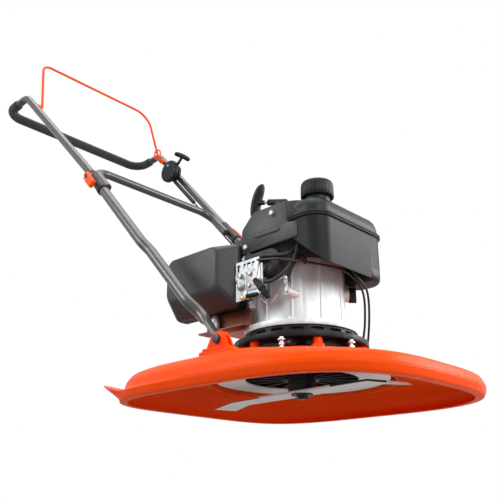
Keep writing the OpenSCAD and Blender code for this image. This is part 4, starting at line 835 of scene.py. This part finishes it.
def make_spring():
    steps = CURL_STEPS * SPRING_CURLS
    coil = []
    for k in range(steps + 1):
        a = math.tau * k / CURL_STEPS
        y = SPRING_Y[0] + (SPRING_Y[1] - SPRING_Y[0]) * k / steps
        coil.append(Vector((LINK_X + SPRING_R * math.cos(a), y, LINK_Z + SPRING_R * math.sin(a))))
    wire = capped_rod(coil, WIRE_R, 10, WIRE_LIP)
    piece("wound_spring", "governor_link", "bright_steel", [wire], ["governor_spring"])


# Starter grip: bowed bar with full, rounded ends on a stem round the rope
STEM_PROFILE = [(0.0022, 0), (0.0046, 0.0002), (0.0052, 0.001), (0.0058, 0.006), (0.0062, 0.0125),
                (0.0068, 0.017), (0.0085, 0.021), (0.009, 0.024), (0.004, 0.025)]
GRIP_HALF = 0.045
GRIP_SEAT = 0.026
GRIP_BOW = 0.008
GRIP_R = (0.0112, 0.013)
GRIP_TIP_R = 0.0012
GRIP_STEPS = 16


def make_grip():
    base = GUIDE / 2 + GRIP_GAP
    line, radii = [], []
    for k in range(-GRIP_STEPS, GRIP_STEPS + 1):
        t = k / GRIP_STEPS
        line.append(ROPE @ Vector((0, GRIP_HALF * t, base + GRIP_SEAT - GRIP_BOW * t * t)))
        full = max(0.0, 1 - abs(t) ** 5) ** 0.5 * (1 - 0.2 * t * t)
        radii.append(tuple(max(GRIP_TIP_R, r * full) for r in GRIP_R))
    parts = [turned(STEM_PROFILE, 32, ROPE @ shifted((0, 0, base))), sweep(line, radii, 24)]
    piece("grip_handle", "starter_pull", "black_plastic", parts, ["starter_grip"], angle=50.0)


# Control bracket: grid lines along Y and Z, and the boxes of it that are cut open
BRACKET_X = -0.139
BRACKET_BACK = -0.137
BRACKET_EDGE = 0.0005
BRACKET_ACROSS = [-0.018, -0.008, 0.0, 0.012, 0.016, 0.026, 0.03, 0.036, 0.046, 0.054, 0.058]
BRACKET_UP = [0.198, 0.212, 0.238, 0.246, 0.262, 0.268, 0.277, 0.284]
BRACKET_OPEN = [(-0.018, -0.008, 0.268, 0.284), (-0.018, -0.008, 0.198, 0.212), (0.0, 0.012, 0.268, 0.277),
                (0.016, 0.026, 0.268, 0.277), (0.03, 0.036, 0.268, 0.277), (0.046, 0.054, 0.262, 0.277),
                (0.054, 0.058, 0.238, 0.246), (0.03, 0.036, 0.238, 0.246)]


def pierced_plate():
    """A plate built of grid cells, with the open boxes left out."""
    def is_open(i, j):
        y = (BRACKET_ACROSS[i] + BRACKET_ACROSS[i + 1]) / 2
        z = (BRACKET_UP[j] + BRACKET_UP[j + 1]) / 2
        return any(low < y < high and bottom < z < top for low, high, bottom, top in BRACKET_OPEN)

    columns, rows = len(BRACKET_ACROSS), len(BRACKET_UP)
    points = [(x, y, z) for x in (BRACKET_X, BRACKET_BACK) for z in BRACKET_UP for y in BRACKET_ACROSS]
    back = columns * rows
    cells = {(i, j) for i in range(columns - 1) for j in range(rows - 1) if not is_open(i, j)}
    faces = []
    for i, j in cells:
        corner = j * columns + i
        ring = [corner, corner + 1, corner + columns + 1, corner + columns]
        faces += [ring, [k + back for k in ring[::-1]]]
        for beside, a, b in (((i, j - 1), 0, 1), ((i + 1, j), 1, 2), ((i, j + 1), 2, 3), ((i - 1, j), 3, 0)):
            if beside not in cells:
                faces.append([ring[b], ring[a], ring[a] + back, ring[b] + back])
    return points, faces


def make_bracket():
    bracket = piece("bracket_plate", "deck", "zinc", [pierced_plate()], ["control_bracket"])
    add_bevel(bracket, BRACKET_EDGE)


# Fittings on the control bracket; places are Y and Z on it, and an OUT is the distance in front of it
WASHER_PROFILE = [(0.003, 0), (0.0095, 0), (0.01, 0.0004), (0.01, 0.0014), (0.0095, 0.0018), (0.003, 0.0018)]
DOME_PROFILE = [(0.007, 0.0016), (0.0074, 0.0022), (0.0074, 0.006), (0.0062, 0.0075), (0.003, 0.0085),
                (0.001, 0.0087)]
DOME_AT = (0.0417, 0.228)
SCREW_PROFILE = [(0.0045, 0), (0.0047, 0.0005), (0.0047, 0.0022), (0.004, 0.0034), (0.001, 0.004)]
SCREWS_AT = [(0.022, 0.256), (0.002, 0.258), (0.018, 0.226)]
SCREW_OUT = 0.0014
BRASS_AT = [(0.0387, 0.2035), (0.029, 0.2035), (-0.0115, 0.2185)]
# Width, length, height, corner and edge of each flat fitting
PLATE_BLOCK = (0.05, 0.04, 0.0016, 0.005, 0.0005)
PLATE_AT = (0.008, 0.24)
FLAP_BLOCK = (0.02, 0.018, 0.0016, 0.004, 0.0005)
FLAP_AT = (0.034, 0.208)
LEVER_BLOCK = (0.052, 0.012, 0.0024, 0.005, 0.0008)
LEVER_AT = (0.0, 0.25)
LEVER_OUT = 0.0016
LEVER_TILT = -11.0
BOSS_PROFILE = [(0.002, 0), (0.007, 0), (0.0075, 0.0006), (0.0075, 0.004), (0.0068, 0.005), (0.002, 0.0055)]
BOSS_AT = (-0.005, 0.232)
BOSS_OUT = 0.003
STRIP_ROUTE = [(-0.1375, -0.006, 0.2), (-0.139, -0.022, 0.186), (-0.139, -0.036, 0.176),
               (-0.137, -0.056, 0.193)]
STRIP_R = (0.001, 0.0045)
# Ends, then share of the way and radius of each step, of the damper and the stub
DAMPER_ENDS = (Vector((-0.1455, -0.003, 0.234)), Vector((-0.136, -0.031, 0.191)))
DAMPER_STEPS = [(0.0, 0.0055), (0.02, 0.0066), (0.1, 0.007), (0.42, 0.007), (0.44, 0.0078), (0.52, 0.0078),
                (0.54, 0.0066), (0.78, 0.0066), (0.8, 0.0054), (0.97, 0.0054), (1.0, 0.0046)]
STUB_ENDS = (Vector((-0.1435, 0.024, 0.2035)), Vector((-0.1435, -0.008, 0.2015)))
STUB_STEPS = [(0.0, 0.003), (0.03, 0.0042), (0.1, 0.0045), (0.9, 0.0045), (0.97, 0.0042), (1.0, 0.003)]


def facing(at, out=0.0):
    """Places a turned or flat form on the control bracket, its axis pointing out of the engine."""
    return shifted((BRACKET_X - out, *at)) @ spun(-90, "Y")


def make_fittings():
    parts = [turned(profile, 28, facing(DOME_AT)) for profile in (WASHER_PROFILE, DOME_PROFILE)]
    parts += [moved(block(*PLATE_BLOCK), facing(PLATE_AT)), moved(block(*FLAP_BLOCK), facing(FLAP_AT))]
    parts += [turned(SCREW_PROFILE, 20, facing(at, SCREW_OUT)) for at in SCREWS_AT]
    parts.append(sweep(smooth_line(STRIP_ROUTE, 6), STRIP_R, 12))
    piece("bracket_fittings", "deck", "zinc", parts, angle=40.0)
    parts = [moved(block(*LEVER_BLOCK), facing(LEVER_AT, LEVER_OUT) @ spun(LEVER_TILT, "Z")),
             turned(BOSS_PROFILE, 24, facing(BOSS_AT, BOSS_OUT))]
    piece("control_lever", "deck", "pale_plastic", parts, angle=40.0)
    parts = [stepped_rod(*DAMPER_ENDS, DAMPER_STEPS, 24), stepped_rod(*STUB_ENDS, STUB_STEPS, 20)]
    piece("control_damper", "deck", "black_plastic", parts, angle=40.0)
    brass = [turned(SCREW_PROFILE, 20, facing(at)) for at in BRASS_AT]
    piece("brass_screws", "deck", "brass", brass, angle=40.0)


# Studs between deck and plate: a nut, a spring washer stack and a collar
STUD_R = 0.14
STUD_ANGLES = (-156.0, -96.0, -36.0, 24.0, 84.0)
STUD_PROFILE = [(0.002, 0.0), (0.0085, 0.0), (0.0085, 0.0012), (0.0055, 0.0016), (0.0055, 0.0045),
                (0.0042, 0.005), (0.0042, 0.008), (0.0066, 0.0084), (0.0066, 0.0116), (0.0042, 0.012),
                (0.0042, 0.016), (0.0075, 0.0164), (0.0085, 0.0175), (0.0085, 0.0195), (0.005, 0.02),
                (0.005, 0.0238), (0.002, 0.0238)]


def make_studs():
    places = [spun(turn, "Z") @ shifted((STUD_R, 0, CROWN_Z)) for turn in STUD_ANGLES]
    studs = [turned(STUD_PROFILE, 24, place) for place in places]
    piece("plate_studs", "deck", "bright_steel", studs, angle=40.0)


# Blade: two halves with a ground leading edge, black strips of painted shade along both edges, and a cut,
# bent-down tip, on a round spacer
BLADE_TURN = 86.0
BLADE_HALF = 0.2525
BLADE_SIDE = 0.027
BLADE_Z = 0.018
BLADE_THICK = 0.004
BLADE_EDGE = 0.0004
GROUND_DEEP = 0.0028
GROUND_WIDE = 0.011
TIP_START = 0.1905
TIP_DROP = 0.009
TIP_CUT = 0.016
# Distance from the axis and how far the leading edge is ground, for each section
BLADE_STATIONS = [(0.0, 0.0), (0.1, 0.0), (0.112, 1.0), (0.15, 1.0), (TIP_START - 0.002, 1.0),
                  (TIP_START + 0.002, 1.0), (0.22, 1.0), (BLADE_HALF - 0.001, 1.0), (BLADE_HALF, 1.0)]
# Section corner, height and half height of the black strips painted as shade along the trailing and leading
# edges
EDGE_SHADE_STRIPS = [(0, BLADE_THICK / 2, BLADE_THICK / 2), (3, 0.0006, 0.0008)]
SPACER_PROFILE = [(0.013, 0.022), (0.0285, 0.022), (0.029, 0.0225), (0.029, 0.0455), (0.0285, 0.046),
                  (0.013, 0.046)]
BOLT_WASHER = [(0.004, 0.018), (0.0228, 0.018), (0.023, 0.0178), (0.023, 0.0156), (0.0224, 0.015),
               (0.004, 0.015)]
BOLT_HEAD = [(0.0105, 0.0152), (0.012, 0.0152), (0.012, 0.0082), (0.0104, 0.007), (0.004, 0.007)]


def blade_ring(x, ground):
    """Section of the blade at one distance from the axis."""
    tip = max(0.0, x - TIP_START) / (BLADE_HALF - TIP_START)
    lead, thick, edge = BLADE_SIDE, BLADE_THICK, BLADE_EDGE
    section = [(-lead, edge), (edge - lead, 0.0), (lead - edge, 0.0), (lead, edge),
               (lead, thick - edge - GROUND_DEEP * ground), (lead - edge - GROUND_WIDE * ground, thick),
               (edge - lead, thick), (-lead, thick - edge)]
    low = BLADE_Z - TIP_DROP * tip
    return [(x - TIP_CUT * tip * (0.5 - y / lead / 2), y, low + z) for y, z in section]


def both_halves(part):
    return [moved(part, spun(BLADE_TURN + turn, "Z")) for turn in (0, 180)]


def make_blade():
    half = loft([blade_ring(x, ground) for x, ground in BLADE_STATIONS])
    piece("blade_bar", "rotor", "blade_steel", both_halves(half), ["blade"], angle=25.0)
    # Black strips on the blade's edge faces: painted shade
    edges = []
    for corner, rise, tall in EDGE_SHADE_STRIPS:
        line = [Vector(blade_ring(x, ground)[corner]) for x, ground in BLADE_STATIONS[1:-1]]
        line = [p + Vector((0, 0, rise - BLADE_EDGE)) for p in line]
        edges += both_halves(sweep(line, (tall, BLADE_EDGE), 12))
    piece("blade_edge_shade", "rotor", "painted_black", edges, angle=40.0)
    piece("blade_spacer", "rotor", "painted_black", [turned(SPACER_PROFILE, 48)])
    bolt = [turned(BOLT_WASHER, 40), turned(BOLT_HEAD, 6)]
    piece("blade_screw", "rotor", "painted_black", bolt, ["blade_bolt"], angle=30.0)


# Side shroud: thin panel with round corners and edges, and a raised round-ended rib
SHROUD_X = -0.12
SHROUD_THICK = 0.0025
SHROUD_OUTLINE = [(-0.096, 0.311), (0.06, 0.308), (0.06, 0.364), (0.026, 0.398), (-0.066, 0.398),
                  (-0.069, 0.3485), (-0.096, 0.3445)]
SHROUD_CORNER = 0.006
RIB_Y = (-0.05, 0.024)
RIB_Z = 0.341
RIB_R = (0.0062, 0.0024)
RIB_TIP = 0.0002
RIB_POINTS = 30


def make_shroud():
    line, radii = [], []
    for k in range(RIB_POINTS + 1):
        t = k / RIB_POINTS
        line.append(Vector((SHROUD_X + RIB_TIP, RIB_Y[0] + (RIB_Y[1] - RIB_Y[0]) * t, RIB_Z)))
        full = (1 - abs(2 * t - 1) ** 14) ** 0.5
        radii.append(tuple(r * full + RIB_TIP for r in RIB_R))
    parts = [panel(SHROUD_OUTLINE, SHROUD_CORNER, SHROUD_X, SHROUD_THICK), sweep(line, radii, 24)]
    piece("shroud_panel", "deck", "engine_plastic", parts, ["side_shroud"], angle=40.0)


# Handle brackets: two stout ears on a base, one bracket on each side
EAR_THICK = 0.004
EAR_GAP = 0.0096
EAR_CORNER = 0.005
EAR_OUTLINE = [(-0.012, 0.076), (0.056, 0.076), (0.041, 0.105), (0.034, 0.1155), (0.01, 0.1155),
               (0.003, 0.105)]
BASE_BLOCK = (0.036, 0.07, 0.0065, 0.006, 0.0015)
BASE_Z = 0.0765


def make_brackets():
    parts = []
    for side in (-1, 1):
        for ear in (-1, 1):
            x = side * PIVOT.x + ear * (EAR_GAP + EAR_THICK) / 2 - EAR_THICK / 2
            parts.append(panel(EAR_OUTLINE, EAR_CORNER, x, EAR_THICK))
        parts.append(moved(block(*BASE_BLOCK), shifted((side * PIVOT.x, PIVOT.y, BASE_Z))))
    piece("bracket_ears", "deck", "deck_orange", parts, ["handle_brackets"], angle=40.0)


# Throttle control: split round housing with a screw, and its T lever
CONTROL = HANDLE @ shifted((0.2416, 0, 1.042)) @ spun(-90, "Y")
CONTROL_PROFILE = [(0.004, 0.0), (0.027, 0.0), (0.0285, 0.001), (0.029, 0.0025), (0.029, 0.009),
                   (0.028, 0.01), (0.007, 0.01), (0.007, 0.019), (0.036, 0.019), (0.0375, 0.0198),
                   (0.0385, 0.0215), (0.0385, 0.03), (0.0375, 0.033), (0.035, 0.0348), (0.03, 0.0355),
                   (0.004, 0.0358)]
CONTROL_SCREW = [(0.001, 0.0354), (0.0036, 0.0354), (0.0036, 0.0362), (0.003, 0.0368), (0.001, 0.037)]
CONTROL_SCREW_AT = (0.014, -0.012, 0)
TEE_HUB = [(0.0074, 0.0104), (0.0138, 0.0104), (0.0142, 0.011), (0.0142, 0.018), (0.0138, 0.0186),
           (0.0074, 0.0186)]
TEE_START = 0.012
TEE_REACH = 0.066
TEE_MIDDLE = 0.0145
TEE_STEM_R = (0.0038, 0.0058)
TEE_BAR_R = (0.0072, 0.008)
TEE_BAR_HALF = 0.033
TEE_BAR_BOW = 0.003
TEE_TIP_R = 0.001
TEE_STEPS = 12


def make_control():
    housing = turned(CONTROL_PROFILE, 56, CONTROL)
    piece("control_disc", "upper_handle", "black_plastic", [housing], ["control_housing"], angle=40.0)
    screw = turned(CONTROL_SCREW, 20, CONTROL @ shifted(CONTROL_SCREW_AT))
    piece("control_screw", "upper_handle", "bright_steel", [screw])
    stem = [Vector((0, -y, TEE_MIDDLE)) for y in (TEE_START, TEE_REACH)]
    bar, radii = [], []
    for k in range(-TEE_STEPS, TEE_STEPS + 1):
        t = k / TEE_STEPS
        bar.append(Vector((0, TEE_BAR_BOW * t * t - TEE_REACH, TEE_MIDDLE + TEE_BAR_HALF * t)))
        full = max(0.0, 1 - abs(t) ** 8) ** 0.5
        radii.append(tuple(max(TEE_TIP_R, r * full) for r in TEE_BAR_R))
    parts = [turned(TEE_HUB, 40, closed=True), sweep(stem, TEE_STEM_R, 20), sweep(bar, radii, 24)]
    parts = [moved(part, CONTROL) for part in parts]
    piece("control_tee", "throttle_lever", "black_plastic", parts, ["throttle_lever"], angle=40.0)


# Lock levers: two round cheeks on the sleeve's lug, and a broad paddle along the sleeve
LOCK_X = 0.2603
LOCK_Z = 0.664
CHEEK_Y = 0.0069
CHEEK_PROFILE = [(0.002, -0.0026), (0.0069, -0.0026), (0.0074, -0.0021), (0.0074, 0.0021), (0.0069, 0.0026),
                 (0.002, 0.0026)]
PADDLE_BLOCK = (0.0105, 0.0215, 0.034, 0.003, 0.0022)
PADDLE_AT = (0.0053, 0, -0.049)
ARM_BLOCK = (0.0088, 0.0052, 0.024, 0.0015, 0.001)
ARM_X = 0.0047
ARM_Z = -0.0235


def make_locks():
    for end, side in (("left", 1), ("right", -1)):
        place = HANDLE @ Matrix.Diagonal((side, 1, 1, 1)) @ shifted((LOCK_X, 0, LOCK_Z))
        parts = [moved(block(*PADDLE_BLOCK), place @ shifted(PADDLE_AT))]
        for y in (-CHEEK_Y, CHEEK_Y):
            parts.append(moved(block(*ARM_BLOCK), place @ shifted((ARM_X, y, ARM_Z))))
            parts.append(turned(CHEEK_PROFILE, 32, place @ shifted((0, y, 0)) @ spun(90, "X")))
        body = "lock_lever_" + end
        piece("lock_paddle_" + end, body, "lever_orange", parts, [body], angle=40.0)


# Fan ring: flat pale ring under the vanes
RING_PROFILE = [(0.1185, 0.046), (0.1825, 0.046), (0.183, 0.0465), (0.183, 0.0485), (0.1825, 0.049),
                (0.1185, 0.049), (0.118, 0.0485), (0.118, 0.0465)]


def make_ring():
    ring = turned(RING_PROFILE, 160, closed=True)
    piece("fan_ring", "rotor", "pale_plastic", [ring], ["impeller_ring"], angle=40.0)


# Cowl skirt: dark curved panel that hangs from the blower over the carburettor side of the crankcase; it
# stands partly for black engine plastic and partly for painted shade under the tank and shroud
SKIRT_TURN = (168.0, 219.0)
SKIRT_R = (0.1006, 0.1026)
SKIRT_LOW = 0.244
SKIRT_RISE = 0.03
SKIRT_RISE_FROM = 0.35
SKIRT_TOP = 0.2852
SKIRT_EDGE = 0.0004
SKIRT_STEPS = 40


def make_skirt():
    inner, outer = SKIRT_R
    rings = []
    for k in range(SKIRT_STEPS + 1):
        t = k / SKIRT_STEPS
        a = math.radians(SKIRT_TURN[0] + (SKIRT_TURN[1] - SKIRT_TURN[0]) * t)
        low = SKIRT_LOW + SKIRT_RISE * eased((t - SKIRT_RISE_FROM) / (1 - SKIRT_RISE_FROM))
        section = [(inner, low + SKIRT_EDGE), (inner + SKIRT_EDGE, low), (outer - SKIRT_EDGE, low),
                   (outer, low + SKIRT_EDGE), (outer, SKIRT_TOP), (inner, SKIRT_TOP)]
        rings.append([(r * math.cos(a), r * math.sin(a), z) for r, z in section])
    # Dark panel: partly black engine plastic, partly painted shade under the tank and shroud
    piece("cowl_shade_skirt", "deck", "engine_plastic", [loft(rings)], angle=40.0)


# CAD nodes that stay: smooth shading, fine bevels and the materials of their slots
NODE_BEVEL = {"fan_duct": 0.0006, "impeller": 0.0004, "governor_arm": 0.0003, "throttle_arm": 0.0003}
NODE_BEVEL_DEFAULT = 0.0007
WELD_REACH = 0.00002


def dress_nodes():
    for name, obj in NODES.items():
        finish_mesh(obj, SLOT_OF[name], 32.0)
        weld = obj.modifiers.new("weld", "WELD")
        weld.merge_threshold = WELD_REACH
        bevel = add_bevel(obj, NODE_BEVEL.get(name, NODE_BEVEL_DEFAULT))
        bevel.harden_normals = True


# Floor: pale where the camera sees it, darker in the light it throws back
def make_floor():
    angles = [math.tau * k / FLOOR_SIDES for k in range(FLOOR_SIDES)]
    ring = [(FLOOR_R * math.cos(a), FLOOR_R * math.sin(a), FLOOR_Z) for a in angles]
    mesh = bpy.data.meshes.new("floor")
    mesh.from_pydata(ring, [], [list(range(FLOOR_SIDES))])
    floor = bpy.data.objects.new("floor", mesh)
    material = surface("floor", "#f6f6f5", 0.7, grain=300.0, depth=0.02, mottle=0.015, wear=0.0)
    tree = material.node_tree
    base = tree.nodes["Principled BSDF"].inputs["Base Color"]
    seen = node(tree, "LightPath").outputs["Is Camera Ray"]
    dimmed = node(tree, "Mix", {0: seen, 6: srgb(FLOOR_BOUNCE), 7: base.links[0].from_socket},
                  data_type="RGBA")
    tree.links.new(dimmed.outputs[2], base)
    mesh.materials.append(material)
    COLLECTION.objects.link(floor)


make_camera()
make_lamps()
make_world()
make_cords()
make_conduit()
make_rope()
make_deck()
make_handle()
make_bail()
make_tank()
make_cap()
make_cleaner()
make_brackets()
make_locks()
make_ring()
make_skirt()
make_shroud()
make_control()
make_hoses()
make_spring()
make_grip()
make_bracket()
make_fittings()
make_studs()
make_blade()
dress_nodes()
make_floor()
bpy.context.scene.view_settings.view_transform = "Standard"
